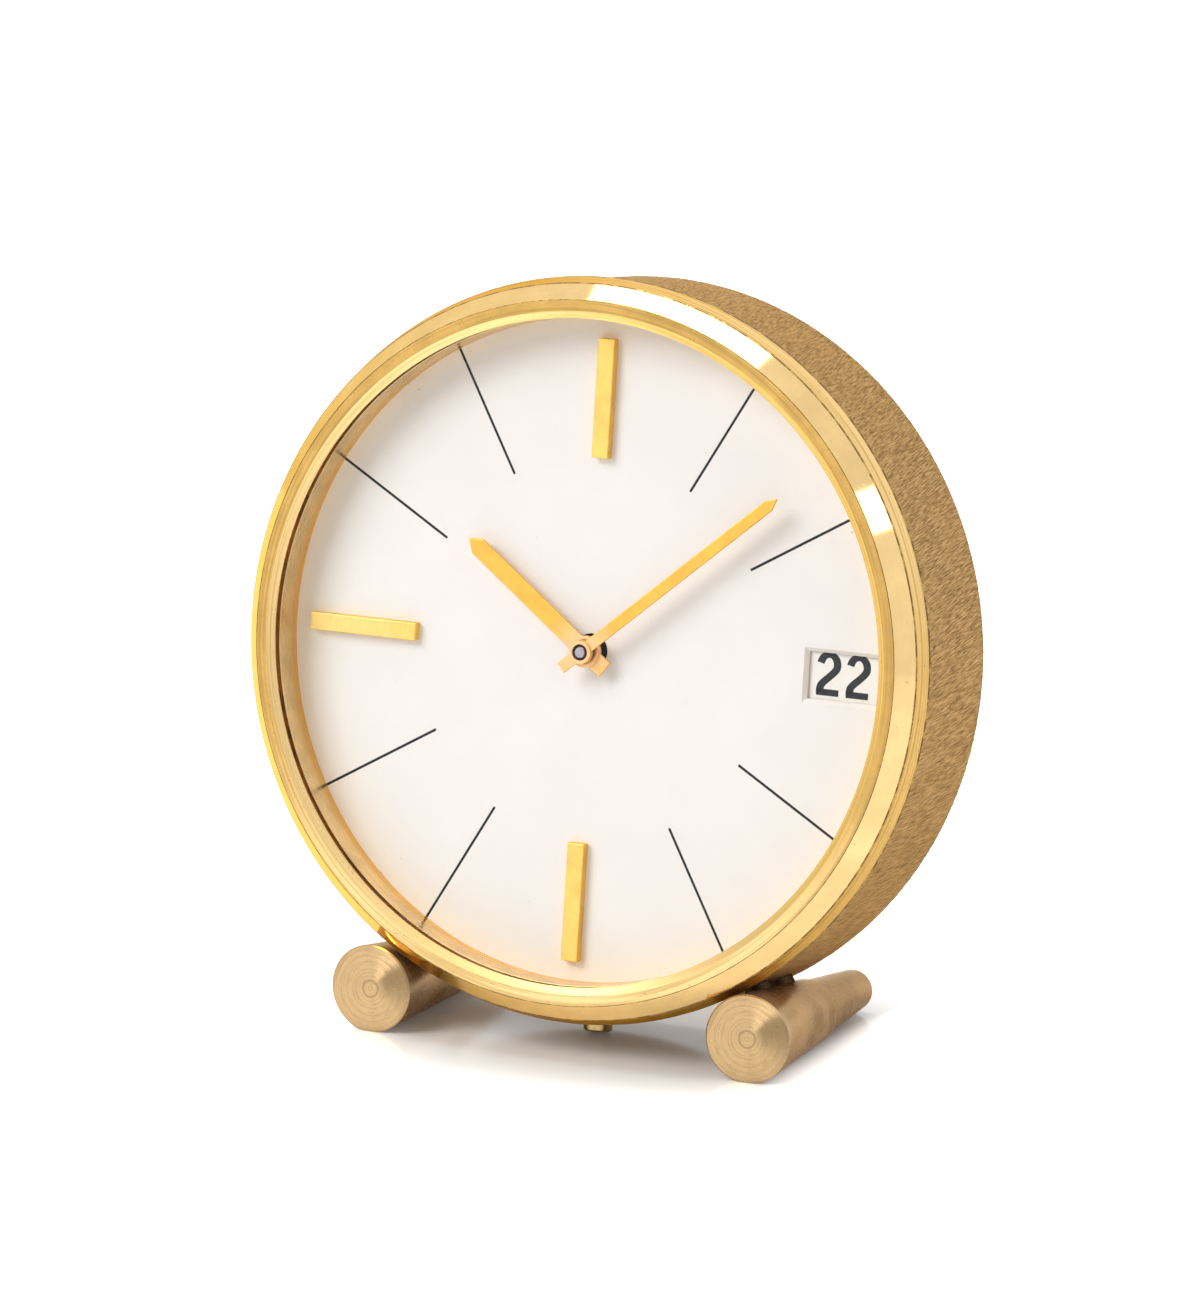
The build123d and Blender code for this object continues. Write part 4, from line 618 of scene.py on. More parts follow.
def turned_brass(name, matrix):
    """Turned brass of a foot: lines round its own axis, and a painted sheen in sectors on its bright end, one
    sector of painted highlight and one of painted shade.
    """
    finish = Finish(name)
    end_tone, side_tone = finishes().foot, finishes().foot_side
    place = finish.place(matrix)
    x, y, z = finish.parts(place)
    wander = finish.noise(place, 0.25, detail=2.0, roughness=0.5) - 0.5
    heading = x.math("ARCTAN2", x * -1.0, y) + wander * 0.5
    # Painted sheen: a lighter and a darker sector round the end stand in for the light and shade of a turned face;
    # pits are also thicker in the darker sector
    bright = finish.step(heading, 0.0, 0.45) * finish.step(heading, 0.95, 0.6)
    dark = finish.step(heading, 0.6, 1.05) * finish.step(heading, 2.3, 1.2)
    face = finish.step(z, 0.45, 0.05)
    groove = bpy.context.scene.clock_feet.groove_at / MM
    behind = finish.step(z, groove - 0.1, groove + 0.1)
    reach = finish.reach(place)
    lines = ring_lines(finish, place, 2.6)
    bands = finish.noise(finish.joined(reach * 4.0, 0.0, 0.0), detail=2.0)
    cloud = finish.noise(place, 0.16, detail=4.0)
    streaks = finish.noise(finish.stretched(place, (0.7, 0.7, 0.3)), detail=4.0, roughness=0.65)
    spots = finish.noise(finish.stretched(place, (1.0, 1.0, 0.6)), 1.6, roughness=0.7)
    speck = finish.step(spots, 0.65, 0.72)
    sides = finish.clouded(side_tone, cloud, 0.35, 0.65, 0.85, 1.08)
    sides = finish.mix(finish.step(streaks, 0.5, 0.72) * 0.15, sides, shaded(side_tone, 0.6))
    sides = finish.mix(behind * 0.6, sides, finishes().foot_rear)
    # Painted highlight: a lighter strip just in front of the groove, for the light caught by the edge of the step
    painted_edge_highlight = finish.step(z, groove - 1.3, groove - 0.4) * (1.0 - behind)
    sides = finish.mix(painted_edge_highlight * 0.45, sides, shaded(end_tone, 1.2))
    ends = finish.clouded(end_tone, cloud, 0.3, 0.7, 0.9, 1.05)
    # Painted highlight and painted shade of the two sectors on the end
    ends = finish.mix(bright * 0.6 * finish.step(reach, 1.0, 3.0), ends, shaded(end_tone, 1.45))
    ends = finish.mix(dark * 0.85 * finish.step(reach, 1.0, 3.5), ends, shaded(end_tone, 0.4))
    ends = finish.mix(finish.step(bands, 0.5, 0.62) * 0.42, ends, shaded(end_tone, 0.5))
    centre = finish.step(reach, 1.1, 1.3) * finish.step(reach, 1.75, 1.5)
    ends = finish.mix(centre * 0.5, ends, shaded(end_tone, 0.45))
    tone = finish.mix(face, sides, ends)
    tone = finish.mix(finish.step(lines, 0.5, 0.66) * face * 0.3, tone, shaded(end_tone, 0.45))
    tone = finish.mix(speck * (0.35 + dark * face * 0.6), tone, finishes().tarnish)
    return finish.surface(
        Base_Color=tone,
        Metallic=0.8 + face * 0.2,
        Roughness=finish.step(cloud, 0.3, 0.7, 0.2, 0.34) + speck * 0.2,
        Specular_Tint=shaded(end_tone, 1.3),
        Normal=finish.bump(lines * (0.06 + face * 0.94) - speck * 0.5, 0.2, 0.05 * MM),
    )


def gilt(name, base):
    """Matt gilt with faint grain and stains, worn paler near the middle of the dial, and with a painted highlight
    on the marker at nine.
    """
    finish = Finish(name)
    place = finish.place()
    x = finish.parts(place)[0]
    grain = finish.noise(finish.stretched(place, (3.0, 0.5, 3.0)))
    cloud = finish.noise(place, 0.35)
    stain = finish.step(finish.noise(place, 0.8, roughness=0.7), 0.66, 0.75)
    tone = finish.clouded(base, cloud, 0.3, 0.7, 0.92, 1.07)
    worn = finish.step(finish.reach(place) + cloud * 7.0, 11.0, 6.0)
    tone = finish.mix(worn * 0.75, tone, finishes().worn_gilt)
    # Painted highlight: the marker at nine is painted paler, as if more light fell on it
    painted_highlight_at_nine = finish.step(x, -30.0, -42.0)
    tone = finish.mix(painted_highlight_at_nine * 0.6, tone, finishes().pale_gilt)
    tone = finish.mix(finish.step(grain, 0.5, 0.75) * 0.35, tone, shaded(base, 0.72))
    tone = finish.mix(stain * 0.3, tone, finishes().tarnish)
    return finish.surface(
        Base_Color=tone,
        Metallic=0.8,
        Roughness=0.4 + (grain - 0.5) * 0.25 + stain * 0.1,
        Specular_Tint=shaded(base, 1.05),
        Normal=finish.bump(grain, 0.12),
    )


def arbor_brass():
    """Brass wheel on a steel arbor: steel near the hands' axis, brass further out."""
    finish = Finish("arbor_brass")
    place = finish.place()
    reach = finish.reach(place)
    fine = finish.noise(place, 3.0)
    tone = finish.mix(finish.step(reach, 0.9, 1.1), finishes().arbor, finishes().movement)
    tone = finish.mix(finish.step(fine, 0.5, 0.75) * 0.4, tone, finishes().blackened)
    return finish.surface(
        Base_Color=tone,
        Metallic=finish.step(reach, 0.9, 1.1, 0.7, 1.0),
        Roughness=0.35 + fine * 0.15,
        Normal=finish.bump(fine, 0.1),
    )


def dial_enamel():
    """Matt lacquer of the dial, tinted warmer near its rim at the lower left, with tiny specks."""
    finish = Finish("dial_enamel")
    dial = bpy.context.scene.clock_dial
    place = finish.place()
    x, y = finish.parts(place)[:2]
    edge = dial.dial_radius / MM
    lower_left = finish.step((x * -0.7 + y * -0.7) / edge, -0.1, 0.9)
    rim = finish.step(finish.reach(place) / edge, 0.72, 0.96)
    cloud = finish.noise(place, 0.05)
    speck = finish.step(finish.noise(place, 1.1, detail=1.0, roughness=0.5), 0.775, 0.80)
    fine = finish.noise(place, 6.0)
    base = finishes().enamel
    tone = finish.clouded(base, cloud, 0.3, 0.7, 0.985, 1.015)
    tone = finish.mix(lower_left * rim * 0.35, tone, finishes().enamel_aged)
    tone = finish.mix(speck * 0.35, tone, finishes().tarnish)
    return finish.surface(
        Base_Color=tone,
        Roughness=0.55 + (fine - 0.5) * 0.15,
        Specular_IOR_Level=0.3,
        Normal=finish.bump(fine, 0.06, 0.02 * MM),
    )


def lacquer(name, base, roughness):
    """Plain printed lacquer with a faint tooth."""
    finish = Finish(name)
    place = finish.place()
    fine = finish.noise(place, 5.0)
    tone = finish.clouded(base, fine, 0.3, 0.7, 0.93, 1.05)
    return finish.surface(
        Base_Color=tone,
        Roughness=roughness + (fine - 0.5) * 0.2,
        Specular_IOR_Level=0.25,
        Normal=finish.bump(fine, 0.05, 0.02 * MM),
    )


def ground_steel(name, base, roughness):
    """Ground steel with fine straight lines."""
    finish = Finish(name)
    place = finish.place()
    lines = finish.noise(finish.stretched(place, (1.0, 14.0, 1.0)))
    tone = finish.clouded(base, lines, 0.35, 0.65, 0.85, 1.1)
    return finish.surface(
        Base_Color=tone,
        Metallic=1.0,
        Roughness=roughness + (lines - 0.5) * 0.2,
        Normal=finish.bump(lines, 0.1, 0.02 * MM),
    )


def clear_glass():
    """Clear crystal with a faint haze of dust."""
    finish = Finish("clear_glass")
    dust = finish.noise(finish.place(), 0.9, detail=4.0, roughness=0.7)
    return finish.surface(
        Base_Color=(0.3, 0.31, 0.31),
        Roughness=0.03 + finish.step(dust, 0.6, 0.8) * 0.1,
        Alpha=0.02 + finish.step(dust, 0.62, 0.8) * 0.01,
    )


# Finishes with a maker of their own
OWN_FINISHES = {
    "groove_brass": groove_brass,
    "inner_brass": inner_brass,
    "lip_brass": lip_brass,
    "drum_brass": drum_brass,
    "arbor_brass": arbor_brass,
    "dial_enamel": dial_enamel,
    "clear_glass": clear_glass,
}

# Finishes that share a maker: the maker, the colour with its shade, and the rest of what the maker is told
SHARED_FINISHES = {
    "polished_brass": (
        brass, "polished", 1.0, {"roughness": 0.06, "lines": 0.04, "wear": 0.06, "pits": 0.3, "grain": 4.0}
    ),
    # Satin brass of the bezel, with the painted reflection on its low front and band
    "satin_brass": (
        brass,
        "satin",
        1.0,
        {"roughness": 0.28, "lines": 0.45, "wear": 0.14, "pits": 0.45, "grain": 2.4, "rubbed": True},
    ),
    "key_brass": (brass, "polished", 0.85, {"roughness": 0.2, "lines": 0.1, "wear": 0.2, "pits": 0.4}),
    "cover_brass": (
        brass, "cover", 1.0, {"roughness": 0.34, "lines": 0.35, "wear": 0.1, "pits": 0.3, "grain": 3.0}
    ),
    # Painted shade: dark brass of the pads, for the shade between a foot and the drum
    "pad_brass": (brass, "pad", 1.0, {"roughness": 0.5, "lines": 0.2, "wear": 0.3}),
    # Painted shade: the pusher is polished brass darkened to stand in for the dark surroundings that it mirrors
    "pusher_brass": (brass, "polished", 0.55, {"roughness": 0.12, "lines": 0.15, "pits": 0.4}),
    "movement_brass": (brass, "movement", 1.0, {"roughness": 0.32, "lines": 0.15, "wear": 0.18, "pits": 0.1}),
    "gilt": (gilt, "gilt", 1.0, {}),
    "marker_gilt": (gilt, "marker", 1.0, {}),
    "date_lacquer": (lacquer, "paper", 1.0, {"roughness": 0.5}),
    "hour_ink": (lacquer, "ink", 1.0, {"roughness": 0.4}),
    "date_ink": (lacquer, "date_ink", 1.0, {"roughness": 0.5}),
    "bright_steel": (ground_steel, "steel", 1.0, {"roughness": 0.28}),
    "blued_steel": (ground_steel, "blued", 1.0, {"roughness": 0.3}),
    "blackened_steel": (ground_steel, "blackened", 1.0, {"roughness": 0.35}),
}

FINISHED = {}


def material(name):
    """A finish by its name, made once."""
    if name not in FINISHED and name in OWN_FINISHES:
        FINISHED[name] = OWN_FINISHES[name]()
    elif name not in FINISHED:
        maker, tone, shade, rest = SHARED_FINISHES[name]
        FINISHED[name] = maker(name, shaded(getattr(finishes(), tone), shade), **rest)
    return FINISHED[name]


# Meshes


def ring(corners, steps, zones=None):
    """A solid turned about Z from the corners of its section, given as radius and height."""
    turned = bmesh.new()
    points = [turned.verts.new((reach, 0.0, height)) for reach, height in corners]
    edges = [turned.edges.new(pair) for pair in zip(points, points[1:] + points[:1])]
    bmesh.ops.spin(
        turned,
        geom=points + edges,
        axis=(0.0, 0.0, 1.0),
        cent=(0.0, 0.0, 0.0),
        angle=2 * math.pi,
        steps=steps,
        use_merge=True,
    )
    bmesh.ops.remove_doubles(turned, verts=turned.verts, dist=TOUCH)
    bmesh.ops.dissolve_degenerate(turned, edges=turned.edges, dist=TOUCH)
    bmesh.ops.recalc_face_normals(turned, faces=turned.faces)
    if zones:
        paint_zones(turned, corners, zones)
    return turned


def tube(inner, outer, low, high, steps):
    """A plain ring, or a disc with no bore, between two radii and two heights."""
    return ring([(inner, low), (outer, low), (outer, high), (inner, high)], steps)


def paint_zones(turned, corners, zones):
    """Gives each face of a turned solid the material of the side of the section that it lies on."""
    sides = list(zip(corners, corners[1:] + corners[:1]))
    for face in turned.faces:
        middle = face.calc_center_median()
        spot = Vector((math.hypot(middle.x, middle.y), middle.z))
        gaps = []
        for start, end in sides:
            first, along = Vector(start), Vector(end) - Vector(start)
            share = max(0.0, min(1.0, (spot - first).dot(along) / max(along.length_squared, 1e-18)))
            gaps.append((spot - first - along * share).length)
        face.material_index = zones[gaps.index(min(gaps))]


def prism(corners, low, high):
    """A flat plate between two heights from the corners of its outline."""
    solid = bmesh.new()
    points = [solid.verts.new((x, y, low)) for x, y in corners]
    base = solid.faces.new(points)
    raised = bmesh.ops.extrude_face_region(solid, geom=[base])
    lifted = [item for item in raised["geom"] if isinstance(item, bmesh.types.BMVert)]
    bmesh.ops.translate(solid, verts=lifted, vec=(0.0, 0.0, high - low))
    bmesh.ops.recalc_face_normals(solid, faces=solid.faces)
    return solid


def block(size, middle):
    """A box with its size and its middle."""
    solid = bmesh.new()
    bmesh.ops.create_cube(solid, size=1.0)
    bmesh.ops.scale(solid, verts=solid.verts, vec=size)
    bmesh.ops.translate(solid, verts=solid.verts, vec=middle)
    return solid


def bevelled(solid, above, width):
    """The same mesh with a bevel on all edges that lie above a height."""
    rim = [edge for edge in solid.edges if all(vertex.co.z > above for vertex in edge.verts)]
    bmesh.ops.bevel(solid, geom=rim, offset=width, affect="EDGES", segments=1, profile=0.5, material=-1)
    return solid


def moved(solid, matrix):
    """The same mesh in another place."""
    bmesh.ops.transform(solid, matrix=matrix, verts=solid.verts)
    return solid


def joined(*solids):
    """Several meshes in one."""
    whole = bmesh.new()
    for solid in solids:
        loose = bpy.data.meshes.new("loose")
        solid.to_mesh(loose)
        solid.free()
        whole.from_mesh(loose)
        bpy.data.meshes.remove(loose)
    return whole


def piece(name, solid, finish_names, body, nodes=(), round_width=0.0, segments=2, sharp=35.0):
    """Makes a finished object of a mesh in the drum's frame, and ties it to the CAD model."""
    moved(solid, DRUM)
    for face in solid.faces:
        face.smooth = True
    data = bpy.data.meshes.new(name)
    solid.to_mesh(data)
    solid.free()
    data.set_sharp_from_angle(angle=math.radians(sharp))
    for finish_name in finish_names:
        data.materials.append(material(finish_name))
    made = bpy.data.objects.new(name, data)
    bpy.context.scene.collection.objects.link(made)
    if round_width:
        rounding = made.modifiers.new("rounded edges", "BEVEL")
        rounding.width = round_width
        rounding.segments = segments
        rounding.limit_method = "ANGLE"
        rounding.angle_limit = math.radians(sharp)
        rounding.harden_normals = True
        rounding.material = -1
    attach(made, body)
    if nodes:
        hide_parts(*nodes)
    return made


# Operators


class CLOCK_OT_bezel(bpy.types.Operator):
    """Turn the bezel with its satin band, polished bevel, land and lip"""

    bl_idname = "clock.bezel"
    bl_label = "Bezel"

    def execute(self, context):
        case = context.scene.clock_case
        joint = case.land_height - case.bevel_drop - case.band_width
        bevel_base = case.land_height - case.bevel_drop
        band_front = case.bezel_radius - case.band_taper
        land_outer = band_front - case.bevel_reach
        land_inner = land_outer - case.land_width
        lip = land_inner - case.lip_reach
        lip_height = case.land_height - case.lip_drop
        under_lip = lip_height - case.lip_edge
        bore = case.crystal_radius + case.crystal_gap
        depth = case.land_height - case.groove_depth
        groove_inner = land_outer - case.groove_width
        flank = case.groove_width * 0.3
        rim = case.rim_width / case.band_width
        seam = case.seam_width / case.bevel_drop
        corners = [
            (bore, 0.0),
            (case.skirt_radius, 0.0),
            (case.skirt_radius, joint),
            (case.bezel_radius, joint),
            (case.bezel_radius - case.band_taper * rim, joint + case.rim_width),
            (band_front, bevel_base),
            (band_front - case.bevel_reach * seam, bevel_base + case.seam_width),
            (land_outer, case.land_height),
            (land_outer - flank, depth),
            (groove_inner + flank, depth),
            (groove_inner, case.land_height),
            (land_inner, case.land_height),
            (lip, lip_height),
            (lip, under_lip),
            (bore, under_lip),
        ]
        # The dark zone: tarnish in the land's groove, a dark line on the seam, and on the band's rear rim partly
        # dirt, partly painted shade at the drum
        polished, satin, dark, lipped = range(4)
        outside = [satin, satin, satin, dark, satin, dark, polished]
        front = [dark, dark, dark, satin, lipped, lipped, satin, satin]
        piece(
            "bezel_ring_turned",
            ring(corners, case.round_steps, outside + front),
            ["polished_brass", "satin_brass", "groove_brass", "lip_brass"],
            "case",
            ["bezel_ring"],
            case.edge_round,
            sharp=22.0,
        )
        return {"FINISHED"}


class CLOCK_OT_crystal(bpy.types.Operator):
    """Lay the crystal and the inner ring round the dial"""

    bl_idname = "clock.crystal"
    bl_label = "Crystal and inner ring"

    def execute(self, context):
        case = context.scene.clock_case
        low, high = span("crystal")
        reach = case.crystal_radius
        glass = tube(0.0, reach, low.z, high.z, case.round_steps)
        piece("crystal_glass", glass, ["clear_glass"], "case", ["crystal"], case.crystal_round)
        low, high = span("inner_ring")
        wall = tube(reach - case.ring_wall, reach, low.z, high.z, case.round_steps)
        node = ["inner_ring"]
        piece("inner_ring_turned", wall, ["inner_brass"], "case", node, case.ring_round)
        return {"FINISHED"}


class CLOCK_OT_drum(bpy.types.Operator):
    """Turn the drum and brush its wall in short strokes"""

    bl_idname = "clock.drum"
    bl_label = "Drum"

    def execute(self, context):
        case = context.scene.clock_case
        low, high = span("case_drum")
        bore = case.drum_radius - case.drum_wall
        wall_low = low.z + case.drum_edge
        corners = [
            (case.drum_radius, high.z),
            (case.drum_radius, wall_low),
            (case.drum_radius - case.drum_edge, low.z),
            (bore, low.z),
            (bore, high.z),
        ]
        solid = ring(corners, case.drum_steps)
        self.brush(solid, case, wall_low, high.z)
        piece("case_drum_brushed", solid, ["drum_brass"], "case", ["case_drum"], sharp=60.0)
        return {"FINISHED"}

    def brush(self, solid, case, low, high):
        """Presses short slanted strokes into the wall of the drum."""
        rules = []
        for edge in solid.edges:
            ends = [vertex.co for vertex in edge.verts]
            upright = abs(ends[0].z - ends[1].z) > (high - low) / 2
            if upright and min(end.xy.length for end in ends) > case.drum_radius - case.drum_edge / 2:
                rules.append(edge)
        bmesh.ops.subdivide_edges(solid, edges=rules, cuts=case.drum_rows - 1, use_grid_fill=True)
        marks = solid.verts.layers.float.new("stroke")
        twist = math.tan(case.stroke_slant) / case.drum_radius
        edge_room = 0.2 * MM
        coarse, finer, sunk = 0.65, 2.3, 0.4
        for vertex in solid.verts:
            vertex[marks] = 0.5
            reach = vertex.co.xy.length
            if reach < case.drum_radius - case.drum_edge / 2 or vertex.co.z > high - edge_room:
                continue
            slanted = Matrix.Rotation(vertex.co.z * twist, 3, "Z") @ vertex.co
            spot = Vector((*(slanted.xy / case.stroke_width), slanted.z / case.stroke_length))
            rise = coarse * noise.noise(spot) + (1.0 - coarse) * noise.noise(spot * finer)
            vertex[marks] = 0.5 + 0.5 * rise
            vertex.co.xy *= 1.0 + (rise - sunk) * case.stroke_depth / reach


class CLOCK_OT_dial(bpy.types.Operator):
    """Cut the dial with its date window, and set the dark bush in its centre"""

    bl_idname = "clock.dial"
    bl_label = "Dial"

    def execute(self, context):
        dial = context.scene.clock_dial
        steps = context.scene.clock_case.round_steps
        back = -dial.dial_thickness
        solid = bmesh.new()
        front_rim = self.circle(solid, dial.dial_radius, 0.0, steps)
        back_rim = self.circle(solid, dial.dial_radius, back, steps)
        front_hole = self.circle(solid, dial.bush_radius, 0.0, dial.bush_steps)
        back_hole = self.circle(solid, dial.bush_radius, back, dial.bush_steps)
        wide = self.window(solid, dial, dial.window_chamfer, 0.0)
        narrow = self.window(solid, dial, 0.0, -dial.window_chamfer)
        deep = self.window(solid, dial, 0.0, back)
        for first, second in ((front_rim, back_rim), (front_hole, back_hole), (wide, narrow), (narrow, deep)):
            bmesh.ops.bridge_loops(solid, edges=first + second)
        for loops in (front_rim + front_hole + wide, back_rim + back_hole + deep):
            bmesh.ops.triangle_fill(solid, edges=loops, use_beauty=True)
        bmesh.ops.recalc_face_normals(solid, faces=solid.faces)
        node = ["dial_plate"]
        piece("dial_plate_lacquered", solid, ["dial_enamel"], "case", node, sharp=20.0)
        bush = tube(dial.bush_bore, dial.bush_radius, back, 0.0, dial.bush_steps)
        node = ["dial_bush"]
        piece("dial_bush_dark", bush, ["blackened_steel"], "case", node, dial.bush_round)
        return {"FINISHED"}

    def circle(self, solid, reach, height, steps):
        """The edges of a circle in the plane of the dial."""
        made = bmesh.ops.create_circle(
            solid, segments=steps, radius=reach, matrix=Matrix.Translation((0.0, 0.0, height))
        )
        return list({edge for vertex in made["verts"] for edge in vertex.link_edges})

    def window(self, solid, dial, margin, height):
        """The edges of the date window's outline, widened by a margin."""
        half_length = dial.window_length / 2 + margin
        half_height = dial.window_height / 2 + margin
        place = Matrix.Translation((dial.window_centre, 0.0, height))
        size = Matrix.Diagonal((half_length, half_height, 1.0, 1.0))
        made = bmesh.ops.create_grid(solid, x_segments=1, y_segments=1, size=1.0, matrix=place @ size)
        faces = {face for vertex in made["verts"] for face in vertex.link_faces}
        edges = list({edge for vertex in made["verts"] for edge in vertex.link_edges})
        bmesh.ops.delete(solid, geom=list(faces), context="FACES_ONLY")
        return edges


class CLOCK_OT_markers(bpy.types.Operator):
    """Set the three raised markers and print the hour lines"""

    bl_idname = "clock.markers"
    bl_label = "Markers and hour lines"

    def execute(self, context):
        dial = context.scene.clock_dial
        markers = []
        for quarter in (90, 180, 270):
            bar = block(
                (dial.marker_length, dial.marker_width, dial.marker_height),
                (dial.marker_inner + dial.marker_length / 2, 0.0, dial.marker_height / 2),
            )
            bevelled(bar, dial.marker_height / 2, dial.marker_bevel)
            markers.append(moved(bar, Matrix.Rotation(math.radians(quarter), 4, "Z")))
        piece(
            "hour_markers_gilt",
            joined(*markers),
            ["marker_gilt"],
            "case",
            ["hour_markers"],
            dial.marker_round,
            sharp=20.0,
        )
        lines = []
        line_length = dial.line_outer - dial.line_inner
        for hour in (1, 2, 4, 5, 7, 8, 10, 11):
            strip = block(
                (line_length, dial.line_width, dial.ink_height),
                (dial.line_inner + line_length / 2, 0.0, dial.ink_height / 2),
            )
            lines.append(moved(strip, Matrix.Rotation(math.radians(90 - hour * 30), 4, "Z")))
        piece("hour_lines", joined(*lines), ["hour_ink"], "case")
        return {"FINISHED"}


def bow(middle, size, start, end, points):
    """Points along an elliptic bow in a digit's unit box, between two angles in degrees."""
    turns = [math.radians(start + (end - start) * point / (points - 1)) for point in range(points)]
    return [(middle[0] + size[0] * math.cos(turn), middle[1] + size[1] * math.sin(turn)) for turn in turns]


# The lines that the strokes of each digit follow, in a unit box, with whether each is smooth and closed
UPPER_BOWL = bow((0.5, 0.77), (0.46, 0.24), 0, 324, 10)
LOWER_BOWL = bow((0.5, 0.29), (0.52, 0.3), 0, 324, 10)
SIX_BACK = bow((0.5, 0.72), (0.5, 0.28), 15, 175, 7) + [(0.0, 0.6), (0.0, 0.3)]
TWO_NECK = bow((0.5, 0.72), (0.5, 0.28), 172, -25, 9) + [(0.6, 0.43), (0.1, 0.22), (0.02, 0.1), (0.02, 0.0)]
DIGIT_STROKES = {
    "0": [(bow((0.5, 0.5), (0.52, 0.52), 0, 330, 12), True, True)],
    "1": [([(0.66, 0), (0.66, 1)], False, False), ([(0.1, 0.8), (0.4, 0.84), (0.6, 1)], True, False)],
    "2": [(TWO_NECK, True, False), ([(-0.18, 0), (1.14, 0)], False, False)],
    "3": [
        (bow((0.5, 0.77), (0.46, 0.23), 165, -90, 9), True, False),
        (bow((0.5, 0.27), (0.5, 0.27), 90, -165, 9), True, False),
    ],
    "4": [([(0.74, 0), (0.74, 1)], False, False), ([(0.66, 1), (0.02, 0.26), (1.1, 0.26)], False, False)],
    "5": [
        ([(0.98, 1), (0.12, 1), (0.06, 0.5)], False, False),
        (bow((0.5, 0.32), (0.5, 0.32), 150, -165, 10), True, False),
    ],
    "6": [(SIX_BACK, True, False), (LOWER_BOWL, True, True)],
    "7": [
        ([(-0.05, 1), (1.1, 1)], False, False),
        ([(1, 1), (1, 0.85), (0.5, 0.5), (0.36, 0.1), (0.36, 0)], True, False),
    ],
    "8": [(UPPER_BOWL, True, True), (LOWER_BOWL, True, True)],
    "9": [
        ([(1 - x, 1 - y) for x, y in SIX_BACK], True, False),
        ([(1 - x, 1 - y) for x, y in LOWER_BOWL], True, True),
    ],
}


class CLOCK_OT_date(bpy.types.Operator):
    """Print the day numbers on the date ring"""

    bl_idname = "clock.date"
    bl_label = "Date ring"

    def execute(self, context):
        dial = context.scene.clock_dial
        face = span("date_ring")[1].z
        digits = {figure: self.digit(dial, figure) for figure in DIGIT_STROKES}
        numbers = []
        for day in range(1, dial.day_count + 1):
            turn = (day - dial.day_at_rest) * 2 * math.pi / dial.day_count
            numbers.append(moved(self.number(dial, digits, day, face), Matrix.Rotation(turn, 4, "Z")))
        piece("date_numbers", joined(*numbers), ["date_ink"], "date_ring")
        return {"FINISHED"}

    def number(self, dial, digits, day, face):
        """The mesh of one day number, upright at three o'clock."""
        figures = str(day)
        pitch = dial.digit_width + dial.digit_gap
        start = dial.date_middle - pitch * (len(figures) - 1) / 2
        placed = []
        for place, figure in enumerate(figures):
            digit = bmesh.new()
            digit.from_mesh(digits[figure])
            moved(digit, Matrix.Diagonal((MM * dial.digit_spread, MM, dial.ink_height, 1.0)))
            placed.append(moved(digit, Matrix.Translation((start + place * pitch, dial.digit_rise, face))))
        return joined(*placed)

    def digit(self, dial, figure):
        """The mesh of one digit in millimetres, from the lines that its strokes follow."""
        name = f"digit_{figure}"
        wide = (dial.digit_width / dial.digit_spread - dial.digit_stroke) / MM
        tall = (dial.digit_height - dial.digit_stroke) / MM
        curve = bpy.data.curves.new(name, "CURVE")
        curve.dimensions = "2D"
        curve.fill_mode = "NONE"
        curve.extrude = 1.0
        for line, smooth, closed in DIGIT_STROKES[figure]:
            spline = curve.splines.new("NURBS" if smooth else "POLY")
            spline.points.add(len(line) - 1)
            for point, (x, y) in zip(spline.points, line):
                point.co = ((x - 0.5) * wide, (y - 0.5) * tall, 0.0, 1.0)
            spline.use_cyclic_u = closed
            spline.use_endpoint_u = not closed
            spline.order_u = 3
            spline.resolution_u = 7
        path = bpy.data.objects.new(name, curve)
        bpy.context.scene.collection.objects.link(path)
        ribbon = bpy.data.objects.new(name, self.evaluated(path))
        bpy.context.scene.collection.objects.link(ribbon)
        broad = ribbon.modifiers.new("stroke", "SOLIDIFY")
        broad.thickness = dial.digit_stroke / MM
        broad.offset = 0.0
        broad.use_even_offset = True
        made = self.evaluated(ribbon)
        for spare in (ribbon, path):
            bpy.data.objects.remove(spare)
        return made

    def evaluated(self, source):
        """The mesh of an object as its settings and modifiers make it."""
        bpy.context.view_layer.update()
        return bpy.data.meshes.new_from_object(source.evaluated_get(bpy.context.evaluated_depsgraph_get()))


class CLOCK_OT_hands(bpy.types.Operator):
    """Shape the two hands with their bosses"""

    bl_idname = "clock.hands"
    bl_label = "Hands"

    def execute(self, context):
        hands = context.scene.clock_hands
        for name in ("hour", "minute"):
            sizes = {
                part: getattr(hands, f"{name}_{part}")
                for part in ("angle", "length", "width", "point", "height", "boss", "boss_height", "bore")
            }
            self.hand(f"{name}_hand", hands, **sizes)
        return {"FINISHED"}

    def hand(self, name, hands, angle, length, width, point, height, boss, boss_height, bore):
        """One hand: a baton with a point and a square tail, and a turned boss."""
        half, shoulder = width / 2, length - point
        outline = [
            (-half, -hands.tail),
            (half, -hands.tail),
            (half, shoulder),
            (0.0, length),
            (-half, shoulder),
        ]
        blade = prism(outline, height, height + hands.thickness)
        middle = height + hands.thickness / 2
        bevelled(blade, middle, hands.edge_bevel)
        collar = tube(bore, boss, middle - boss_height / 2, middle + boss_height / 2, hands.boss_steps)
        solid = moved(joined(blade, collar), Matrix.Rotation(-angle, 4, "Z"))
        piece(f"{name}_gilt", solid, ["gilt"], name, [name], hands.edge_round, sharp=25.0)


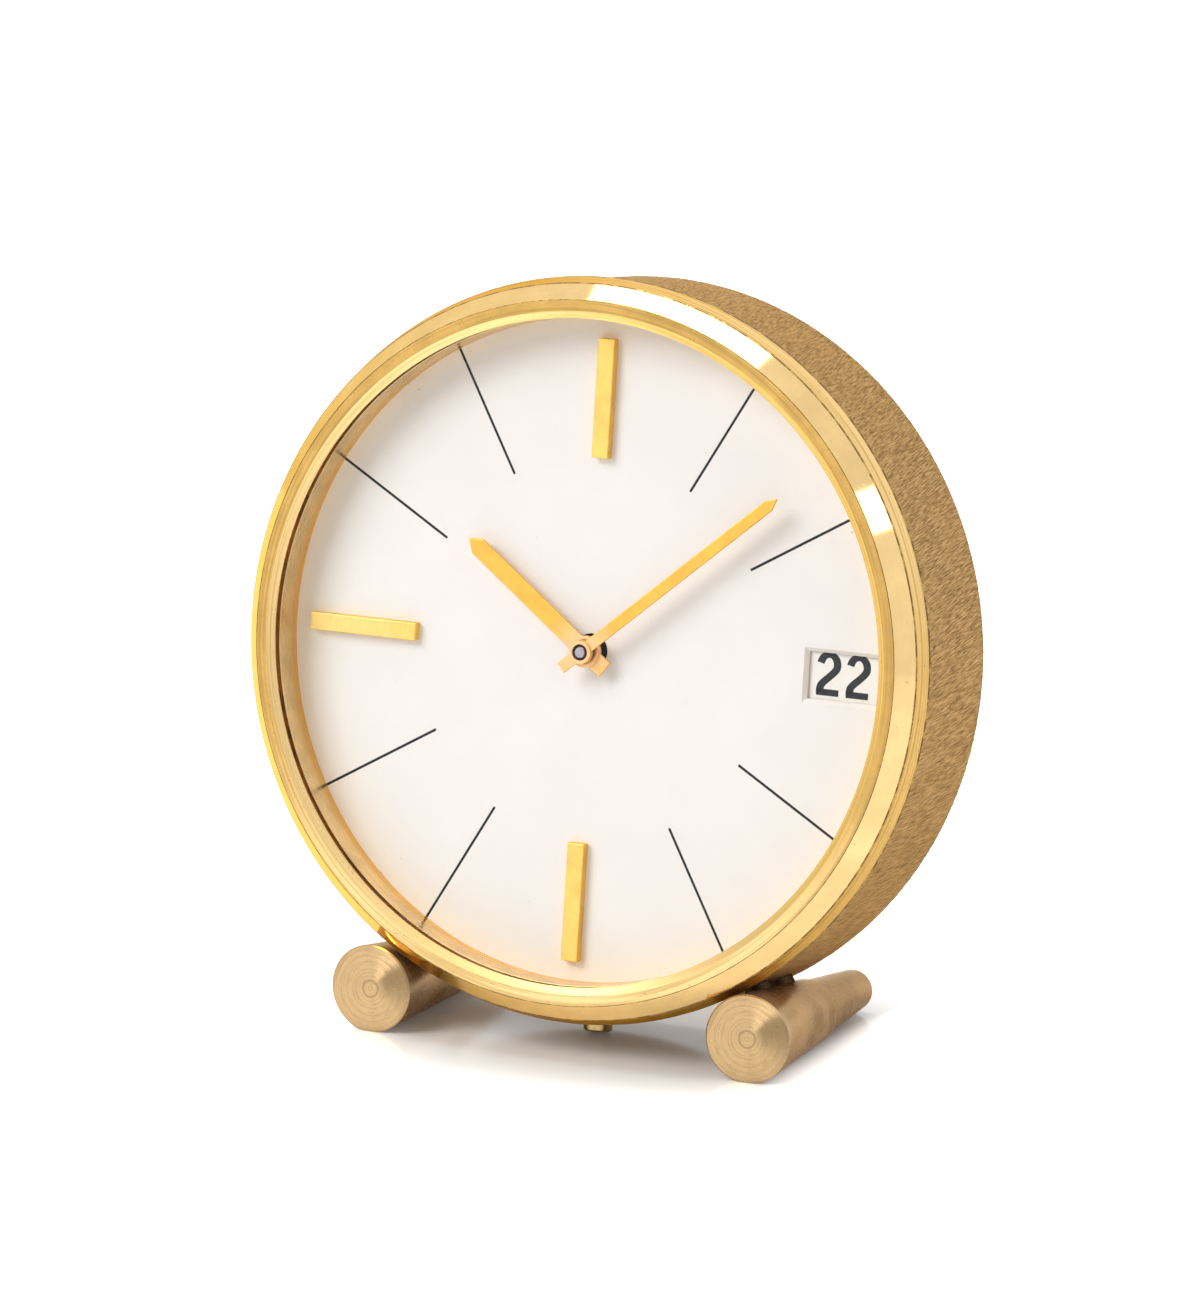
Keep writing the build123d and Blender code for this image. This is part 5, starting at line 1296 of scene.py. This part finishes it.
class CLOCK_OT_feet(bpy.types.Operator):
    """Turn the two feet and the date pusher under the drum"""

    bl_idname = "clock.feet"
    bl_label = "Feet and date pusher"

    def execute(self, context):
        feet = context.scene.clock_feet
        for name, side in (("foot_right", 1), ("foot_left", -1)):
            self.foot(context, name, side, feet)
        self.pusher(feet)
        return {"FINISHED"}

    def foot(self, context, name, side, feet):
        """One tapered foot with its groove, its pads and the flat that it stands on."""
        case = context.scene.clock_case
        taper = math.atan(math.sin(LEAN) / (1 + math.cos(feet.spread) * math.cos(LEAN)))
        reach = case.bezel_radius + feet.bezel_gap + feet.front_radius / math.cos(taper)
        outward = Vector((side * math.sin(feet.spread), -math.cos(feet.spread), 0.0))
        start = outward * reach + Vector((0.0, 0.0, feet.ahead))
        along = outward * -math.sin(taper) + Vector((0.0, 0.0, -math.cos(taper)))
        level = along.cross(Vector((0.0, -1.0, 0.0))).normalized()
        turn = Matrix((level, along.cross(level), along)).transposed().to_4x4()
        axis = Matrix.Translation(start) @ turn
        body = moved(ring(self.section(feet, math.tan(taper)), feet.foot_steps), axis)
        self.flatten(body)
        solids = [body]
        upright = outward.to_track_quat("Z", "Y").to_matrix().to_4x4()
        for station in (feet.pad_first, feet.pad_second):
            pad = tube(0.0, feet.pad_radius, case.drum_radius, reach, feet.pad_steps)
            # The pads take the dark pad brass, painted shade between the foot and the drum
            for face in pad.faces:
                face.material_index = 1
            solids.append(moved(pad, Matrix.Translation((0.0, 0.0, station)) @ upright))
        finish_name = f"{name}_brass"
        FINISHED[finish_name] = turned_brass(finish_name, DRUM @ axis)
        finish_names = [finish_name, "pad_brass"]
        piece(f"{name}_turned", joined(*solids), finish_names, "case", [name], feet.edge_round)

    def section(self, feet, narrowing):
        """The corners of a foot's section, as radius and distance from the front."""
        groove = feet.front_radius - narrowing * feet.groove_at
        rear = feet.front_radius - narrowing * feet.foot_length - feet.rear_step
        half = feet.groove_width / 2
        corners = [
            (0.0, 0.0),
            (feet.front_radius - feet.front_chamfer, 0.0),
            (feet.front_radius, feet.front_chamfer),
            (groove, feet.groove_at - half),
            (groove - feet.groove_depth, feet.groove_at),
            (groove - feet.rear_step, feet.groove_at + half),
        ]
        for turned in range(feet.round_steps + 1):
            bend = math.radians(90) * turned / feet.round_steps
            drawn_in = feet.rear_round * (1 - math.cos(bend))
            corners.append((rear - drawn_in, feet.foot_length - feet.rear_round * (1 - math.sin(bend))))
        return corners + [(0.0, feet.foot_length)]

    def flatten(self, body):
        """Cuts off what lies under the floor, and closes the cut."""
        to_drum = DRUM.inverted()
        sliced = bmesh.ops.bisect_plane(
            body,
            geom=list(body.verts) + list(body.edges) + list(body.faces),
            plane_co=to_drum.translation,
            plane_no=to_drum.to_3x3() @ Vector((0.0, 0.0, 1.0)),
            clear_inner=True,
        )
        rim = [item for item in sliced["geom_cut"] if isinstance(item, bmesh.types.BMEdge)]
        bmesh.ops.triangle_fill(body, edges=rim, use_beauty=True)

    def pusher(self, feet):
        """The polished pin of the date pusher, upright under the drum, with its stem."""
        low, high = span("date_pusher")
        bottom, station = low.y, (low.z + high.z) / 2
        shoulder = bottom + feet.pusher_head
        reach, chamfer = feet.pusher_radius, feet.pusher_chamfer
        corners = [
            (0.0, bottom),
            (reach - chamfer, bottom),
            (reach, bottom + chamfer),
            (reach, shoulder),
            (feet.pusher_stem, shoulder),
            (feet.pusher_stem, high.y),
            (0.0, high.y),
        ]
        stand = Matrix.Translation((0.0, 0.0, station)) @ Matrix.Rotation(math.radians(-90), 4, "X")
        piece(
            "date_pusher_pin",
            moved(ring(corners, feet.pusher_steps), stand),
            ["pusher_brass"],
            "date_pusher",
            ["date_pusher"],
            feet.edge_round,
        )


class CLOCK_OT_back(bpy.types.Operator):
    """Shape the winding key and the setting knob"""

    bl_idname = "clock.back"
    bl_label = "Winding key and setting knob"

    def execute(self, context):
        back = context.scene.clock_back
        self.key(back)
        self.knob(back)
        return {"FINISHED"}

    def key(self, back):
        """A hub with two flat, rounded wings."""
        low, high = span("winding_key")
        middle = (low + high) / 2
        half = (high.x - low.x) / 2
        end = back.wing_height / 2
        outline = []
        for side in (1, -1):
            for turned in range(back.wing_steps + 1):
                bend = math.radians(-90 + 180 * turned / back.wing_steps)
                across = side * (half - end + end * math.cos(bend))
                outline.append((across, side * end * math.sin(bend)))
        wings = prism(outline, -back.wing_thickness / 2, back.wing_thickness / 2)
        upright = Matrix.Rotation(math.radians(90), 4, "X")
        moved(wings, Matrix.Translation((middle.x, middle.y, low.z + end)) @ upright)
        tip = low.z + back.wing_height * back.hub_start
        corners = [
            (0.0, tip),
            (back.hub_radius * back.hub_tip, tip),
            (back.hub_radius, tip + (high.z - tip) * back.hub_cone),
            (back.hub_radius, high.z),
            (0.0, high.z),
        ]
        hub = moved(ring(corners, back.hub_steps), Matrix.Translation((middle.x, middle.y, 0.0)))
        piece(
            "winding_key_shaped",
            joined(wings, hub),
            ["key_brass"],
            "winding_key",
            ["winding_key"],
            back.wing_round,
            segments=3,
        )

    def knob(self, back):
        """A ribbed knob with a rounded rim and a turned hollow in its end."""
        low, high = span("setting_knob")
        middle = (low + high) / 2
        reach, rim = back.knob_radius, back.knob_round
        floor = low.z + back.hollow_depth
        core = reach - back.rib_depth - rim
        corner = rim * 0.3
        corners = [
            (0.0, floor),
            (back.hollow_radius, floor),
            (back.hollow_radius + back.hollow_depth, low.z),
            (core, low.z),
            (core + rim - corner, low.z + corner),
            (reach - back.rib_depth, low.z + rim),
            (reach, low.z + rim + back.rib_depth),
            (reach, high.z),
            (0.0, high.z),
        ]
        rib_steps, hollow_steps = 4, (2, 3)
        steps = back.knob_ribs * rib_steps
        solid = ring(corners, steps)
        for vertex in solid.verts:
            place = round(math.atan2(vertex.co.y, vertex.co.x) / (2 * math.pi) * steps)
            if vertex.co.xy.length > reach - back.rib_depth / 2 and place % rib_steps in hollow_steps:
                vertex.co.xy *= 1.0 - back.rib_depth / reach
        moved(solid, Matrix.Translation((middle.x, middle.y, 0.0)))
        piece(
            "setting_knob_ribbed",
            solid,
            ["key_brass"],
            "setting_knob",
            ["setting_knob"],
            sharp=30.0,
        )


# Nodes with another finish than the rest of their slot
NODE_FINISHES = {
    "cannon_pinion": "blackened_steel",
    "centre_wheel": "arbor_brass",
    "rear_cover": "cover_brass",
}

# Slots of the record whose finish has another name
SLOT_FINISHES = {
    "date_print": "date_lacquer",
    "steel": "bright_steel",
    "spring_steel": "blued_steel",
    "dark_steel": "blackened_steel",
}


class CLOCK_OT_movement(bpy.types.Operator):
    """Give the carried-over pieces of the movement and the back their finishes"""

    bl_idname = "clock.movement"
    bl_label = "Movement and back"

    def execute(self, context):
        for entry in frame["record"]["subparts"]:
            node = frame["nodes"][entry["node"]]
            if node.hide_render:
                continue
            node.data.materials.clear()
            slot = entry["material_slot"]
            finish_name = NODE_FINISHES.get(entry["node"], SLOT_FINISHES.get(slot, slot))
            node.data.materials.append(material(finish_name))
        return {"FINISHED"}


class CLOCK_OT_stage(bpy.types.Operator):
    """Lay the floor, hang the lamps and set up the camera"""

    bl_idname = "clock.stage"
    bl_label = "Floor, lamps and camera"

    def execute(self, context):
        stage = context.scene.clock_stage
        self.floor(context, stage)
        self.world(context, stage)
        lamps = (
            ("top lamp", (-0.14, 0.10, 1.25), (-0.14, 0.10, 0.0), (0.86, 0.7), stage.top_power),
            ("key lamp", (-0.85, -1.15, 1.15), CENTRE, (1.0, 1.0), stage.key_power),
            ("side lamp", (1.18, -0.285, 0.95), CENTRE, (0.5, 0.26), stage.side_power),
        )
        for name, place, target, size, power in lamps:
            self.lamp(context, name, Vector(place), Vector(target), size, power)
        self.camera(context, stage)
        context.scene.view_settings.view_transform = "Standard"
        return {"FINISHED"}

    def floor(self, context, stage):
        """A plain pale floor."""
        solid = bmesh.new()
        bmesh.ops.create_grid(solid, x_segments=1, y_segments=1, size=stage.floor_size / 2)
        data = bpy.data.meshes.new("floor")
        solid.to_mesh(data)
        solid.free()
        data.materials.append(self.floor_finish(stage))
        floor = bpy.data.objects.new("floor", data)
        context.scene.collection.objects.link(floor)

    def floor_finish(self, stage):
        """Faintly glossy, with a painted glow: white to the camera away from the clock, and lit up to mirrored
        rays. Sizes here are in metres.
        """
        finish = Finish("pale_floor")
        coordinates = finish.node("ShaderNodeTexCoord", output="Object")
        cloud = finish.noise(coordinates, 3.0, roughness=0.5)
        tone = finish.clouded(stage.floor_colour, cloud, 0.3, 0.7, 0.995, 1.005)
        shader = finish.node(
            "ShaderNodeBsdfPrincipled",
            {},
            {"Base Color": tone, "Roughness": 0.16, "Specular IOR Level": 0.4},
        )
        clear, mirrored = finish.rays()
        # Painted light: the floor glows white to the camera away from the clock, which paints out the shadow
        # beside the feet, and glows to mirrored rays, brighter to the left and dimmer under the clock, for the
        # metal to mirror
        across, back = finish.parts(coordinates)[:2]
        reach = finish.reach(finish.stretched(coordinates, (0.72, 1.0, 1.0)))
        beside = finish.step(across.math("ABSOLUTE", across), 0.035, 0.044)
        away = across.math("MAXIMUM", finish.step(reach, 0.026, 0.06), beside)
        under = finish.step(back, -0.034, -0.018) * finish.step(back, 0.05, 0.03) * (1.0 - beside)
        sheen = finish.step(across, -0.02, 0.08, 0.52, 0.3)
        strength = clear * (0.04 + away * 0.8) + mirrored * sheen * (1.0 - under * 0.9)
        glow = finish.node("ShaderNodeEmission", {}, {"Color": (1.0, 1.0, 1.0, 1.0), "Strength": strength})
        both = finish.node("ShaderNodeAddShader", {}, {0: shader, 1: glow})
        finish.node("ShaderNodeOutputMaterial", {}, {"Surface": both})
        return finish.material

    def world(self, context, stage):
        """White to the camera, and softer light with a darker front to the metal and the rest."""
        world = bpy.data.worlds.new("studio")
        context.scene.world = world
        finish = Finish(world.name, world)
        heading = finish.node("ShaderNodeTexCoord", output="Generated")
        x, y, z = finish.parts(heading)
        clear, mirrored = finish.rays()
        room = finish.step(y * 0.6 + z * 0.5 - x * 0.2, -0.8, 0.7, 0.82, 1.02)
        room = room + finish.step(x, 0.72, 0.92) * 0.17
        strength = stage.fill + mirrored * (room - stage.fill)
        strength = strength + clear * (1.0 - strength)
        light = finish.node("ShaderNodeBackground", {}, {"Color": (1.0, 1.0, 1.0, 1.0), "Strength": strength})
        finish.node("ShaderNodeOutputWorld", {}, {"Surface": light})

    def lamp(self, context, name, place, aim, size, power):
        """A soft rectangular lamp that faces the clock."""
        light = bpy.data.lights.new(name, "AREA")
        light.shape = "RECTANGLE"
        light.size, light.size_y = size
        light.energy = power
        made = bpy.data.objects.new(name, light)
        made.location = place
        made.rotation_euler = (aim - place).to_track_quat("-Z", "Y").to_euler()
        context.scene.collection.objects.link(made)

    def camera(self, context, stage):
        """The camera at the photograph's viewing angle."""
        lens = bpy.data.cameras.new("camera")
        lens.lens = stage.lens
        lens.sensor_width = 36.0
        lens.clip_end = 50.0
        made = bpy.data.objects.new("camera", lens)
        turn = Euler((math.radians(90) - stage.elevation, 0.0, stage.azimuth))
        made.rotation_euler = turn
        made.location = CAMERA_AIM + turn.to_matrix() @ Vector((0.0, 0.0, stage.distance))
        context.scene.collection.objects.link(made)
        context.scene.camera = made


OPERATORS = (
    CLOCK_OT_bezel,
    CLOCK_OT_crystal,
    CLOCK_OT_drum,
    CLOCK_OT_dial,
    CLOCK_OT_markers,
    CLOCK_OT_date,
    CLOCK_OT_hands,
    CLOCK_OT_feet,
    CLOCK_OT_back,
    CLOCK_OT_movement,
    CLOCK_OT_stage,
)


class CLOCK_PT_panel(bpy.types.Panel):
    """Lists the pieces of the clock"""

    bl_idname = "CLOCK_PT_panel"
    bl_label = "Desk Clock"
    bl_space_type = "VIEW_3D"
    bl_region_type = "UI"
    bl_category = "Desk Clock"

    def draw(self, context):
        for operator in OPERATORS:
            self.layout.operator(operator.bl_idname)


def register():
    """Adds the clock's properties, operators and panel to Blender."""
    for name, group in GROUPS.items():
        bpy.utils.register_class(group)
        setattr(bpy.types.Scene, name, bpy.props.PointerProperty(type=group))
    for kind in (*OPERATORS, CLOCK_PT_panel):
        bpy.utils.register_class(kind)


def unregister():
    """Removes the clock's properties, operators and panel from Blender."""
    for kind in (*OPERATORS, CLOCK_PT_panel):
        bpy.utils.unregister_class(kind)
    for name, group in GROUPS.items():
        delattr(bpy.types.Scene, name)
        bpy.utils.unregister_class(group)


def main():
    """Builds the clock and its stage."""
    register()
    bpy.ops.clock.bezel()
    bpy.ops.clock.crystal()
    bpy.ops.clock.drum()
    bpy.ops.clock.dial()
    bpy.ops.clock.markers()
    bpy.ops.clock.date()
    bpy.ops.clock.hands()
    bpy.ops.clock.feet()
    bpy.ops.clock.back()
    bpy.ops.clock.movement()
    bpy.ops.clock.stage()


if __name__ == "__main__":
    main()
